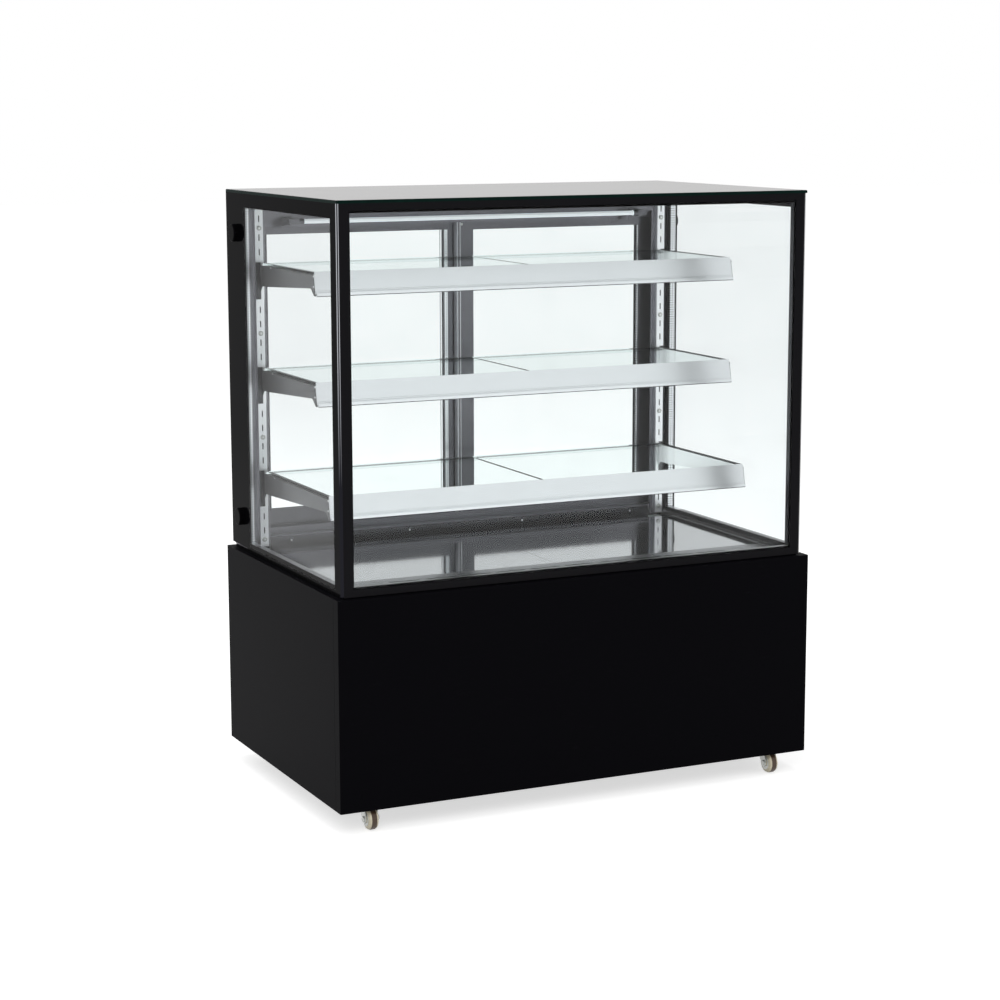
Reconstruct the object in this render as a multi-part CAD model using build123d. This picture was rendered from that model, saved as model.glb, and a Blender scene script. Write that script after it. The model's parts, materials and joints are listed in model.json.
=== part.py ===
from build123d import *
import os

os.makedirs("parts", exist_ok=True)

# Refrigerated display case. Millimetres, X along the front, Y from the customer's side to the back, Z up.
# The origin is on the floor, under the middle of the case.

# Whole case
case_width = 1200
case_depth = 730
case_height = 1390
ground_clearance = 51
base_top = 530
sheet = 1.5
seat = 0.2
running = 0.05

# Base panels and frame
corner_return = 28
bottom_flange = 12
panel_seam = 0.8
fold_radius = 2.5
rear_recess = 7
angle_leg = 30
angle_wall = 3
floor_sheet = 2
castor_height = 72

# Louvres of the rear panel
louvre_length = 130
louvre_height = 7
louvre_pitch = 22
louvre_gap = 30
louvre_rows = 12
louvre_columns = 5
louvre_lowest = 150
louvre_reach = 8

# Glass box
side_ledge = 14
front_ledge = 14
rear_ledge = 5
pane = 5
cavity = 15
top_pane = 7
top_bevel = 1.5
corner_bevel = 6
pane_lift = 10
front_pane_lift = 2
spacer_width = 12
side_spacer_setback = 13
side_spacer_drop = 33
front_spacer_drop = 21
spacer_sink = 1
spacer_end_gap = 5

# Insulated tub, rim and deck
rim_height = 5
rim_inset = 7
tub_wall = 30
tub_lip = 15
tub_depth = 135
tub_clearance = 5
air_grille_depth = 111
deck_rear_gap = 56
deck_flange = 12
deck_seam = 1.2
grille_slot_length = 76
grille_slot_width = 6
grille_slot_pitch = 88
grille_slot_row_pitch = 16

# Rear wall, door frame and doors
wall_setback = 5
sill_rise = 28
wall_apron = 30
wall_rivet_inset = 65
wall_rivet_spacing = 304
frame_setback = 3
frame_depth = 87
frame_wall = 3
jamb_width = 39
inner_lane = 34
header_height = 65
track_fin = 2
track_drop = 18
door_thickness = 22
door_gap = 4
door_lift = 2
door_stile = 44
door_meeting_stile = 42
door_top_rail = 35
door_bottom_rail = 51
door_overlap = 7
door_pane = 4
door_groove = 8
pull_height = 100
pull_width = 22
pull_depth = 9
pull_rise = 22
pull_offset = 2
door_skin = 2
glide_length = 30
glide_inset = 4

# Uprights
upright_inset = 7
upright_width = 20
upright_depth = 13
upright_lift = 10
upright_drop = 38
upright_end_screws = (17, 44)
upright_modules = 3
slots_per_module = 7
screw_to_slot = 22
slot_length = 15
slot_width = 3
screw_head_radius = 5.5
screw_head_height = 2.5
screw_head_ease = 1.5
screw_shank_radius = 2.5

# Shelves and brackets
shelf_depths = {"low": 403, "middle": 332, "top": 332}
shelf_below_screw = 81
shelf_pane = 6
shelf_split = 3
shelf_rear_gap = 16
bracket_wall = 2
bracket_setback = 1
bracket_height = 54
bracket_nose_height = 31
bracket_foot = 8
bracket_knee = 19
bracket_knee_run = 6
bracket_knee_drop = 3
bracket_step = 42
bracket_heel = 12
bracket_heel_drop = 8
bracket_lip = 12
hook_flange_height = 86
hook_wall = 2.4
hook_height = 10
hook_drop = 6
hook_tip = 3
hook_tip_ease = 2
shelf_side_gap = 1
rail_height = 54
rail_rise = 1
rail_lean = 11
rail_wall = 2
rail_ledge = 14
rail_lip_reach = 5
rail_lip_height = 7
rail_lip_wall = 1.5
strip_wall = 1.7
strip_height = 15
rivet_radius = 2.5
rivet_head = 1
rivet_drop = 10
rail_top_rivet = 2
rail_foot_rivet = (7, 12)
strip_rivet = 3
wall_rivet_radius = 3
wall_rivet_lift = 1

# Lamps
lamp_inset = 80
lamp_radius = 5.5
lamp_reach = 45
lamp_lift = 2
lamp_cap_length = 13
lamp_cap_radius = 7
lamp_clip_width = 25
lamp_clip_wall = 2
lamp_clip_drop = 20
lamp_clip_rise = 12
lamp_clip_slope = 4
shelf_lamp_inset = 22
shelf_lamp_height = 12
shelf_lamp_depth = 7
shelf_lamp_drop = 6
shelf_lamp_ease = 2

# Round caps on the side glass
cap_radius = 21
cap_reach = 13
cap_setback = 20
cap_rise = 54
cap_drop = 28
cap_stud_radius = 5
cap_round = 3

# Castors
castor_side_inset = 82
castor_end_inset = 46
castor_trail = 18
wheel_radius = 25
wheel_width = 24
wheel_shoulder = 7
hub_radius = 9
hub_width = 27.4
axle_radius = 4
axle_head_radius = 6.5
axle_head = 3
castor_plate = 60
castor_plate_wall = 2.5
castor_plate_round = 6
race_radius = 20
race_height = 4.5
crown_radius = 21
crown_height = 6.5
crown_gap = 0.25
king_pin_radius = 5
king_head_radius = 8
king_head = 2.5
fork_wall = 2.5
fork_end_radius = 9
fork_shoulder = 15
fork_shoulder_height = 2

# Refrigeration unit
compressor_inset = 270
compressor_y = 100
compressor_radius = 75
compressor_height = 175
compressor_foot = 20
shell_shares = ((0, 0, 0), (0.6, 0, 0), (0.9, 0, 0.2), (1, 0, 0.5), (1, 1, -0.6), (0.9, 1, -0.3),
                    (0.65, 1, -0.1), (0, 1, 0))
foot_plate = 142.5
foot_plate_round = 12
foot_plate_wall = (3, 2)
foot_radius = 11
foot_spread = 60
terminal_reach = 22
terminal_width = 56
terminal_height = (50, 110)
shell_overlap = 20
stub_reach = 14
stub_spread = 46
suction_height = 120
discharge_height = 90
pipe_radius = 4
pipe_bend = 22
suction_reach = 50
discharge_reach = 100
liquid_reach = 40
liquid_run = 105
drain_radius = 9
drain_gap = 13
condenser_inset = 350
condenser_width = 340
condenser_height = 260
condenser_gap = 3.5
condenser_thickness = 44
fin_pitch = 12
fin_wall = 0.8
fin_reach = 4
tube_radius = 5
condenser_fan_radius = 98
evaporator_width = 700
evaporator_height = 90
evaporator_thickness = 110
evaporator_setback = 235
evaporator_fan_radius = 46
evaporator_fan_spacing = 340
fan_tip_gap = 4
fan_blades = 5
fan_hub_radius = 16
fan_hub_length = 18
fan_blade_wall = 2
fan_blade_root = 17.6
fan_blade_sink = 2
blade_share = 0.8
fan_root_twist = 0.8
fan_tip_twist = 0.35
motor_radius = 22
motor_length = 30
motor_shaft_radius = 4
motor_gap = 2
motor_ease = 3
strut_width = 8
strut_wall = 3
shroud_wall = 2
shroud_depth = 40
evaporator_fan_gap = 30
pan_width = 240
pan_depth = 200
pan_height = 38
pan_wall = 2
pan_x = 60
pan_y = -150

# Controls
controls_drop = 52
controller_inset = 200
bezel_width = 77
bezel_height = 35
bezel_wall = 4
bezel_round = 3
display_width = 33
display_height = 18
display_sink = 1
display_side = 8
controller_depth = 45
cutout_margin = 4
button_size = 7
button_travel = 1
button_stand = 1.2
button_pitch = 11
button_stem = 6
button_round = 1
switch_pitch = 80
switch_width = 19
switch_height = 27
switch_wall = 1.5
switch_depth = 18
switch_back = 2
switch_flange = 2
rocker_margin = 2
rocker_face = 5.5
rocker_depth = 3
rocker_rim = 0.6
rocker_tilt = 8
trunnion_radius = 1.5
gland_inset = 120
gland_z = 125
gland_radius = 12
gland_reach = 6
gland_body_radius = 9
gland_body_length = 16
lock_nut_end = 9

# Places that follow from the sizes above
half_width = case_width / 2
front = -case_depth / 2
back = case_depth / 2
glass_x = half_width - side_ledge
glass_front = front + front_ledge
glass_back = back - rear_ledge
top_under = case_height - top_pane
inner_glass_x = glass_x - pane - cavity
inner_glass_y = glass_front + pane + cavity
room_x = inner_glass_x - pane
room_front = inner_glass_y + pane
frame_half = half_width - sheet
frame_front_y = front + sheet
rear_panel_y = back - rear_recess
frame_back_y = rear_panel_y - sheet
floor_top = castor_height + floor_sheet
rim_top = base_top + rim_height
rim_x = glass_x - rim_inset
deck_top = rim_top + sheet

# Rear wall, door frame and doors
frame_rear = glass_back - frame_setback
frame_face = frame_rear - frame_depth
wall_face = frame_face + wall_setback
sill_height = base_top + sill_rise
jamb_inner = glass_x - jamb_width
header_bottom = top_under - header_height
inner_door_y = frame_face + inner_lane
outer_door_y = inner_door_y + door_thickness + door_gap
door_outer_x = jamb_inner - door_gap
door_bottom = sill_height + frame_wall + door_lift
door_top = header_bottom - door_lift
pull_centre = (sill_height + header_bottom) / 2 + pull_rise
cap_centre_y = frame_face + cap_setback
cap_heights = (sill_height + cap_rise, header_bottom - cap_drop)

# Tub and deck
tub_front = room_front + tub_clearance
tub_cavity_back = wall_face + sheet + seat
tub_back = tub_cavity_back + tub_wall
tub_x = inner_glass_x - 2 * pane
tub_floor = base_top - tub_depth
ring_x = tub_x + seat
deck_front = room_front + air_grille_depth
deck_back = wall_face - deck_rear_gap

# Uprights and shelves
upright_centre = jamb_inner - upright_inset
upright_front = frame_face - upright_depth
upright_bottom = base_top + upright_lift
upright_top = top_under - upright_drop
lip_inner = upright_centre - upright_width
lowest_screw = upright_bottom + upright_end_screws[0]
slot_module = (upright_top - upright_end_screws[1] - lowest_screw) / upright_modules
slot_pitch = (slot_module - 2 * screw_to_slot) / (slots_per_module - 1)
screw_heights = [lowest_screw + slot_module * number for number in range(upright_modules + 1)]
plate_x = upright_centre - bracket_setback
plate_inner_x = plate_x - bracket_wall
shelf_rear = upright_front - shelf_rear_gap
shelf_heights = {name: screw - shelf_below_screw for name, screw in zip(shelf_depths, screw_heights[1:])}
shelf_fronts = {name: shelf_rear - depth for name, depth in shelf_depths.items()}
wall_rivet_x = (wall_rivet_spacing / 2, lip_inner - wall_rivet_inset)
wall_rivet_places = sorted(side * x for side in (-1, 1) for x in wall_rivet_x)
lamp_length = 2 * (lip_inner - lamp_inset)
lamp_centre_y = frame_face - lamp_reach
lamp_centre_z = header_bottom - lamp_lift
shelf_lamp_length = 2 * (plate_inner_x - shelf_lamp_inset)

# Castors, refrigeration unit and controls
castor_x = half_width - castor_side_inset
castor_y = back - castor_end_inset
compressor_x = half_width - compressor_inset
condenser_x = condenser_inset - half_width
condenser_back = frame_back_y - louvre_reach - condenser_gap
liquid_y = condenser_back - liquid_run
evaporator_back = wall_face - evaporator_setback
controls_z = base_top - controls_drop
controller_x = controller_inset - half_width
switch_x = controller_x + switch_pitch
gland_x = half_width - gland_inset


def slab(x, y, z):
    """A block between the low and high values of x, y and z."""
    size = [high - low for low, high in (x, y, z)]
    centre = [(low + high) / 2 for low, high in (x, y, z)]
    return Pos(*centre) * Box(*size)


def run_x(sketch, x):
    """A sketch drawn in (y, z), run along X between two values."""
    return extrude(Plane.YZ.offset(x[0]) * sketch, x[1] - x[0])


def run_y(sketch, y):
    """A sketch drawn in (x, z), run along Y between two values."""
    return extrude(Plane.XZ.offset(-y[0]) * sketch, y[0] - y[1])


def run_z(sketch, z):
    """A sketch drawn in (x, y), run along Z between two values."""
    return extrude(Plane.XY.offset(z[0]) * sketch, z[1] - z[0])


def outline(*points):
    """A closed flat shape through the points."""
    return make_face(Polyline(*points, close=True))


def rod_x(radius, x, y, z):
    """A round rod along X."""
    return run_x(Pos(y, z) * Circle(radius), x)


def rod_y(radius, x, y, z):
    """A round rod along Y."""
    return run_y(Pos(x, z) * Circle(radius), y)


def rod_z(radius, x, y, z):
    """A round rod along Z."""
    return run_z(Pos(x, y) * Circle(radius), z)


def window(x, z):
    """A rectangle in (x, z), drawn about its own middle."""
    return Pos((x[0] + x[1]) / 2, (z[0] + z[1]) / 2) * Rectangle(x[1] - x[0], z[1] - z[0])


def both_sides(piece):
    """The piece and its mirror image across the middle of the case."""
    return [piece, mirror(piece, about=Plane.YZ)]


def save(name, *pieces):
    """Write one node from its pieces, each kept as its own solid."""
    solids = [solid for piece in pieces for solid in piece.solids()]
    node = Compound(solids) if len(solids) > 1 else solids[0]
    export_step(node, f"parts/{name}.step")


def base_frame():
    """Welded angle-iron frame with the floor pan that the castors bolt to."""
    x = (-frame_half, frame_half)
    y = (frame_front_y, frame_back_y)
    frame = slab(x, y, (castor_height, floor_top))
    outer = Pos(0, (y[0] + y[1]) / 2) * Rectangle(2 * frame_half, y[1] - y[0])
    inner = offset(outer, -angle_wall, kind=Kind.INTERSECTION)
    upright_leg = outer - inner
    top = base_top - sheet
    frame += run_z(upright_leg, (floor_top, floor_top + angle_leg))
    frame += run_z(upright_leg, (top - angle_leg, top))
    hole = Pos(0, (tub_front + tub_back) / 2) * Rectangle(2 * ring_x, tub_back - tub_front + 2 * seat)
    frame += run_z(outer - hole, (top - angle_wall, top))
    corner = outline((0, 0), (angle_leg, 0), (angle_leg, angle_wall), (angle_wall, angle_wall),
                     (angle_wall, angle_leg), (0, angle_leg))
    for side in (0, 1):
        for end in (0, 1):
            post = corner if not side else mirror(corner, about=Plane.YZ)
            post = post if not end else mirror(post, about=Plane.XZ)
            frame += run_z(Pos(x[side], y[end]) * post, (floor_top, top))
    return frame


def front_panel():
    """Folded front sheet: it wraps round both corners, with a flange along the top and the bottom."""
    body = slab((-half_width, half_width), (front, front + corner_return), (ground_clearance, base_top))
    upright_bends = body.edges().group_by(Axis.Y)[0].filter_by(Axis.Z)
    top_bend = body.faces().sort_by(Axis.Z)[-1].edges().sort_by(Axis.Y)[:1]
    body = fillet(upright_bends + top_bend, fold_radius)
    z = (ground_clearance + sheet, base_top - sheet)
    body -= slab((-frame_half, frame_half), (front + sheet, front + corner_return), z)
    cut = (ground_clearance, ground_clearance + sheet)
    return body - slab((-frame_half, frame_half), (front + bottom_flange, front + corner_return), cut)


def side_panel():
    """Folded left side sheet, with its return round the rear corner."""
    y = (front + corner_return + panel_seam, back)
    inner_x = -half_width + corner_return
    body = slab((-half_width, inner_x), y, (ground_clearance, base_top))
    body = fillet(body.edges().group_by(Axis.X)[0].filter_by(Axis.Z).sort_by(Axis.Y)[-1], fold_radius)
    z = (ground_clearance + sheet, base_top - sheet)
    body -= slab((-frame_half, inner_x), (y[0], back - sheet), z)
    cut = (ground_clearance, ground_clearance + sheet)
    return body - slab((-half_width + bottom_flange, inner_x), (y[0], back - sheet), cut)


def louvres():
    """Slots and inward blades of one rear panel, as two lists."""
    slots = []
    blades = []
    step = louvre_length + louvre_gap
    for column in range(louvre_columns):
        x = (column - (louvre_columns - 1) / 2) * step
        ends = (x - louvre_length / 2, x + louvre_length / 2)
        for row in range(louvre_rows):
            z = louvre_lowest + row * louvre_pitch
            slots.append(slab(ends, (frame_back_y, rear_panel_y), (z, z + louvre_height)))
            blade = outline((rear_panel_y, z + louvre_height), (rear_panel_y, z + louvre_height + sheet),
                            (frame_back_y - louvre_reach, z + sheet), (frame_back_y - louvre_reach, z))
            blades.append(run_x(blade, ends))
    return slots, blades


def rear_grille():
    """Louvred rear sheet in a shallow tray, with the cut-outs for the controls and the cord gland."""
    x = half_width - bottom_flange - seat
    lip = rear_panel_y + rear_recess - sheet
    body = slab((-x, x), (frame_back_y, lip), (ground_clearance, base_top - sheet))
    z = (ground_clearance + sheet, base_top - 2 * sheet)
    body -= slab((-x + sheet, x - sheet), (rear_panel_y, lip), z)
    cover_y = (front + case_depth - corner_return, lip)
    body += slab((-half_width + corner_return + seat, half_width - corner_return - seat), cover_y,
                 (base_top - sheet, base_top))
    slots, blades = louvres()
    body = body - slots + blades
    thickness = (frame_back_y, rear_panel_y)
    cutouts = ((controller_x, bezel_width - 2 * cutout_margin, bezel_height - 2 * cutout_margin),
               (switch_x, switch_width, switch_height))
    for centre, width, height in cutouts:
        body -= slab((centre - width / 2, centre + width / 2), thickness,
                     (controls_z - height / 2, controls_z + height / 2))
    return body - rod_y(gland_body_radius, gland_x, thickness, gland_z)


def top_rim():
    """Low black rim on the base, which carries the glass box and the deck."""
    outer = Pos(0, (glass_front + rim_inset + frame_rear) / 2) * Rectangle(
        2 * rim_x, frame_rear - glass_front - rim_inset)
    inner_y = (tub_front, wall_face + sheet)
    inner = Pos(0, sum(inner_y) / 2) * Rectangle(2 * jamb_inner, inner_y[1] - inner_y[0])
    return run_z(outer - inner, (base_top, rim_top))


def tub():
    """Insulated tub under the deck, hung from the frame by its lip."""
    body = slab((-tub_x, tub_x), (tub_front, tub_back), (tub_floor - tub_wall, base_top))
    body += slab((-tub_x - tub_lip, tub_x + tub_lip), (tub_front - tub_lip, tub_back + tub_lip),
                 (base_top - sheet, base_top))
    x = tub_x - tub_wall
    return body - slab((-x, x), (tub_front + tub_wall, tub_cavity_back), (tub_floor, base_top))


def deck_half():
    """Right half of the polished deck, with its front and rear edges turned down into the tub."""
    low = deck_top - deck_flange
    points = ((deck_front, deck_top), (deck_back, deck_top), (deck_back, low), (deck_back - sheet, low),
              (deck_back - sheet, rim_top), (deck_front + sheet, rim_top), (deck_front + sheet, low),
              (deck_front, low))
    half = run_x(outline(*points), (deck_seam / 2, tub_x - tub_wall - seat))
    return half + slab((deck_seam / 2, room_x - seat), (deck_front, deck_back), (rim_top, deck_top))


def front_air_grille():
    """Slotted strip between the deck and the front glass, where the cold air rises."""
    edge = room_x - seat
    y = (room_front + seat, deck_front - seat)
    strip = slab((-edge, edge), y, (rim_top, deck_top))
    count = int(2 * (edge - grille_slot_pitch) / grille_slot_pitch)
    middle = (y[0] + y[1]) / 2
    slot = SlotOverall(grille_slot_length, grille_slot_width)
    slots = []
    for row in (-1, 0, 1):
        for column in range(count):
            x = (column - (count - 1) / 2) * grille_slot_pitch
            slots.append(run_z(Pos(x, middle + row * grille_slot_row_pitch) * slot, (rim_top, deck_top)))
    return strip - slots


def rear_wall():
    """Folded wall under the door sill, with an apron that hangs down into the tub."""
    low = base_top - wall_apron
    under = sill_height - sheet
    points = ((wall_face, low), (wall_face + sheet, low), (wall_face + sheet, under),
              (frame_rear - sheet, under), (frame_rear - sheet, rim_top), (frame_rear, rim_top),
              (frame_rear, sill_height), (wall_face, sill_height))
    edge = lip_inner - seat
    return run_x(outline(*points), (-edge, edge))


def front_glass():
    """Outer front pane."""
    x = glass_x - corner_bevel
    return slab((-x, x), (glass_front, glass_front + pane), (base_top + front_pane_lift, top_under))


def side_glass():
    """Outer left pane, with the two holes that its round caps pass through."""
    x = (-glass_x, -glass_x + pane)
    body = slab(x, (glass_front + corner_bevel, glass_back), (base_top + pane_lift, top_under))
    for z in cap_heights:
        body -= rod_x(cap_stud_radius + seat, x, cap_centre_y, z)
    return body


def inner_panes():
    """Inner panes of the front and the two sides."""
    z = (rim_top, top_under)
    front_pane = slab((-inner_glass_x, inner_glass_x), (inner_glass_y, room_front), z)
    side_pane = slab((room_x, inner_glass_x), (room_front, frame_face - seat), z)
    return [front_pane] + both_sides(side_pane)


def glass_spacers():
    """Hollow metal bars that hold the panes apart: one rectangle for each double glazing."""
    low = base_top + pane_lift + spacer_sink
    z = (low, top_under - front_spacer_drop + spacer_width)
    front_outer = window((-inner_glass_x, inner_glass_x), z)
    front_ring = front_outer - offset(front_outer, -spacer_width, kind=Kind.INTERSECTION)
    front_bars = run_y(front_ring, (glass_front + pane, inner_glass_y))
    y = (room_front + side_spacer_setback - spacer_width, frame_face - spacer_end_gap)
    z = (low, top_under - side_spacer_drop + spacer_width)
    side_outer = window(y, z)
    side_ring = side_outer - offset(side_outer, -spacer_width, kind=Kind.INTERSECTION)
    side_bars = run_x(side_ring, (inner_glass_x, glass_x - pane))
    return [front_bars] + both_sides(side_bars)


def top_glass():
    """Top pane with its upper edges bevelled."""
    plate = slab((-glass_x, glass_x), (glass_front, glass_back), (top_under, case_height))
    return chamfer(plate.faces().sort_by(Axis.Z)[-1].edges(), top_bevel)


def corner_strip():
    """Bright bevelled strip that closes the left front corner."""
    x = -glass_x
    y = glass_front
    inner = (x + corner_bevel, y + corner_bevel)
    section = outline((x, inner[1]), (inner[0], y), inner)
    return run_z(section, (base_top + front_pane_lift, top_under))


def door_frame():
    """Fixed frame of the rear doors: hollow jambs and header, sill and the fins of two tracks."""
    shell = window((jamb_inner, glass_x - pane - seat), (frame_face, frame_rear))
    jamb = shell - offset(shell, -frame_wall, kind=Kind.INTERSECTION)
    jamb += window((lip_inner, jamb_inner), (frame_face, frame_face + frame_wall))
    jamb = run_z(jamb, (rim_top, top_under))
    x = (-jamb_inner, jamb_inner)
    shell = window((frame_face, frame_rear), (header_bottom, top_under))
    header = run_x(shell - offset(shell, -frame_wall, kind=Kind.INTERSECTION), x)
    sill = slab(x, (frame_face, frame_rear), (sill_height, sill_height + frame_wall))
    frame = header + sill + both_sides(jamb)
    lanes = (inner_door_y, outer_door_y, outer_door_y + door_thickness + door_gap)
    for lane in lanes:
        y = lane - door_gap / 2
        fin_y = (y - track_fin / 2, y + track_fin / 2)
        frame += slab(x, fin_y, (header_bottom - track_drop, header_bottom + frame_wall))
        frame += slab(x, fin_y, (sill_height, sill_height + track_drop))
    return frame


def door_sash(y):
    """Right door: its aluminium frame with the glass groove, the finger pull and two nylon glides."""
    x = (-door_overlap, door_outer_x)
    z = (door_bottom, door_top)
    glass_gap = window((x[0] + door_meeting_stile, x[1] - door_stile),
                       (z[0] + door_bottom_rail, z[1] - door_top_rail))
    sash = run_y(window(x, z) - glass_gap, (y, y + door_thickness))
    groove = offset(glass_gap, door_groove, kind=Kind.INTERSECTION)
    sash -= run_y(groove, (y + door_skin, y + door_thickness - door_skin))
    pull_x = door_outer_x - door_stile / 2 + pull_offset
    sash -= slab((pull_x - pull_width / 2, pull_x + pull_width / 2),
                 (y + door_thickness - pull_depth, y + door_thickness),
                 (pull_centre - pull_height / 2, pull_centre + pull_height / 2))
    glides = []
    glide_y = (y + glide_inset, y + door_thickness - glide_inset)
    for end in (x[0] + glide_length, x[1] - glide_length):
        glides.append(slab((end - glide_length / 2, end + glide_length / 2), glide_y,
                           (sill_height + frame_wall + seat, z[0])))
    return sash + glides


def door_panes(y):
    """Right door's two panes, held in the groove of its frame."""
    reach = door_groove - seat
    x = (-door_overlap + door_meeting_stile - reach, door_outer_x - door_stile + reach)
    z = (door_bottom + door_bottom_rail - reach, door_top - door_top_rail + reach)
    inner = y + door_skin
    outer = y + door_thickness - door_skin
    return [slab(x, (inner, inner + door_pane), z), slab(x, (outer - door_pane, outer), z)]


def slot_heights():
    """Middles of an upright's slots."""
    heights = []
    for screw in screw_heights:
        for number in range(slots_per_module):
            z = screw + screw_to_slot + number * slot_pitch
            if z + slot_length < upright_top:
                heights.append(z)
    return heights


def upright():
    """Right slotted upright, a channel open at the back."""
    x = (upright_centre - upright_width / 2, upright_centre + upright_width / 2)
    z = (upright_bottom, upright_top)
    body = slab(x, (upright_front, frame_face), z)
    body -= slab((x[0] + sheet, x[1] - sheet), (upright_front + sheet, frame_face), z)
    web = (upright_front, upright_front + sheet)
    slot_x = (upright_centre - slot_width / 2, upright_centre + slot_width / 2)
    slots = [slab(slot_x, web, (z - slot_length / 2, z + slot_length / 2)) for z in slot_heights()]
    holes = [rod_y(screw_shank_radius + seat, upright_centre, web, z) for z in screw_heights]
    return body - slots - holes


def upright_screw(z):
    """Domed screw of the right upright."""
    x = upright_centre
    head = rod_y(screw_head_radius, x, (upright_front - screw_head_height, upright_front), z)
    head = chamfer(head.edges().sort_by(Axis.Y)[0], screw_head_ease)
    return head + rod_y(screw_shank_radius, x, (upright_front, frame_face), z)


def wall_rivet(x):
    """Domed rivet in the rear wall."""
    z = base_top + wall_rivet_lift
    head = rod_y(wall_rivet_radius, x, (wall_face - 2 * rivet_head, wall_face), z)
    return chamfer(head.edges().sort_by(Axis.Y)[0], rivet_head)


def hook(z, x):
    """One hook of a bracket: it passes through a slot and hangs on the slot's lower edge."""
    low = z - slot_length / 2 + seat
    face = upright_front
    catch = face + sheet + seat
    tip = catch + hook_tip
    root = face - bracket_wall
    toe = low - hook_drop
    points = ((root, low), (catch, low), (catch, toe), (tip, toe + hook_tip_ease), (tip, low + hook_height),
              (root, low + hook_height))
    return run_x(outline(*points), (x - hook_wall / 2, x + hook_wall / 2))


def bracket(shelf):
    """Right bracket of a shelf: tapered plate, glass lip, and a rear flange with its hooks in the slots."""
    top = shelf_heights[shelf] - shelf_pane
    nose = shelf_fronts[shelf]
    foot = nose - rail_lean
    heel = upright_front
    flange = (shelf_heights[shelf] - hook_flange_height, shelf_heights[shelf] + rail_rise)
    tip_z = flange[1] - rail_height
    nose_z = top - bracket_nose_height
    knee = nose + bracket_knee
    belly = shelf_heights[shelf] - bracket_height
    points = ((heel, top), (nose, top), (foot, tip_z), (foot + bracket_foot, tip_z),
              (knee - bracket_knee_run, nose_z - bracket_knee_drop), (knee, nose_z),
              (heel - bracket_step, belly), (heel - bracket_heel, belly),
              (heel, top - bracket_height - bracket_heel_drop))
    plate = run_x(outline(*points), (plate_inner_x, plate_x))
    lip_y = (nose + rail_wall + rail_ledge + seat, shelf_rear - strip_height / 2)
    plate += slab((plate_inner_x - bracket_lip, plate_x), lip_y, (top - bracket_wall, top))
    x = (upright_centre - upright_width / 2, upright_centre + upright_width / 2)
    plate += slab(x, (heel - bracket_wall, heel), flange)
    for z in slot_heights():
        if flange[0] < z - slot_length / 2 and z + slot_length / 2 < flange[1]:
            plate += hook(z, upright_centre)
    return plate


def price_rail(shelf):
    """Extruded rail along a shelf's front: leaning face, ledge for the glass, ticket lip and foot."""
    z_top = shelf_heights[shelf] + rail_rise
    z_low = z_top - rail_height
    floor = z_low + rail_wall
    y_top = shelf_fronts[shelf]
    y_low = y_top - rail_lean
    ledge = shelf_heights[shelf] - shelf_pane
    slope = rail_lean / rail_height
    step = slope * rail_wall
    ledge_y = y_top + rail_wall - slope * (z_top - ledge)
    ledge_end = y_top + rail_wall + rail_ledge
    foot = y_low + rail_wall + rail_ledge
    lip = (y_low - rail_lip_reach, y_low - rail_lip_reach + rail_lip_wall)
    lip_top = z_low + rail_lip_height
    points = ((lip[0], z_low), (lip[0], lip_top), (lip[1], lip_top), (lip[1], floor), (y_low + step, floor),
              (y_top, z_top), (y_top + rail_wall, z_top), (ledge_y, ledge), (ledge_end, ledge),
              (ledge_end, ledge - rail_wall), (ledge_y - step, ledge - rail_wall),
              (y_low + rail_wall + step, floor), (foot, floor), (foot, z_low))
    edge = plate_inner_x - seat
    return run_x(outline(*points), (-edge, edge))


def shelf_glass(shelf):
    """Two panes of a shelf, which lie on the bracket lips, the rail's ledge and the rear strip."""
    top = shelf_heights[shelf]
    y = (shelf_fronts[shelf] + rail_wall + seat, shelf_rear)
    return both_sides(slab((shelf_split / 2, plate_x - shelf_side_gap), y, (top - shelf_pane, top)))


def rear_strip(shelf):
    """Clear strip under and behind the rear edge of a shelf's glass, pinned between the brackets."""
    low = shelf_heights[shelf] - shelf_pane
    high = shelf_heights[shelf] + rail_rise
    back_y = shelf_rear + seat
    start = back_y - strip_height / 2
    points = ((start, low - strip_wall), (back_y, low - strip_wall), (back_y, high - strip_height),
              (back_y + strip_wall, high - strip_height), (back_y + strip_wall, high), (back_y, high),
              (back_y, low), (start, low))
    edge = plate_inner_x - seat
    return run_x(outline(*points), (-edge, edge))


def bracket_rivets(shelf):
    """Rivets of the right bracket: two into the rail's end and one into the rear strip."""
    top = shelf_heights[shelf]
    nose = shelf_fronts[shelf]
    places = ((nose + rail_top_rivet, top - shelf_pane - rivet_drop),
              (nose - rail_lean + rail_foot_rivet[0], top - rail_height + rail_foot_rivet[1]),
              (shelf_rear - strip_rivet, top - shelf_pane - rivet_drop))
    return [rod_x(rivet_radius, (plate_x, plate_x + rivet_head), y, z) for y, z in places]


def roof_lamp():
    """Lamp tube under the header, its end caps, and the clips that hold it."""
    half = lamp_length / 2
    y = lamp_centre_y
    z = lamp_centre_z
    tube = rod_x(lamp_radius, (-half, half), y, z)
    cap = rod_x(lamp_cap_radius, (half, half + lamp_cap_length), y, z)
    x = half + lamp_cap_length
    low = z - lamp_cap_radius
    high = z + lamp_cap_radius
    face = frame_face - lamp_clip_wall
    foot = (z - lamp_clip_drop, z + lamp_clip_rise)
    points = ((y - lamp_cap_radius, low), (y + lamp_cap_radius, low), (face, low - lamp_clip_slope),
              (face, foot[0]), (frame_face, foot[0]), (frame_face, foot[1]), (face, foot[1]),
              (face, high), (y - lamp_cap_radius, high))
    clip = run_x(outline(*points), (x, x + lamp_clip_width))
    return [tube] + both_sides(cap) + both_sides(clip)


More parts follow.
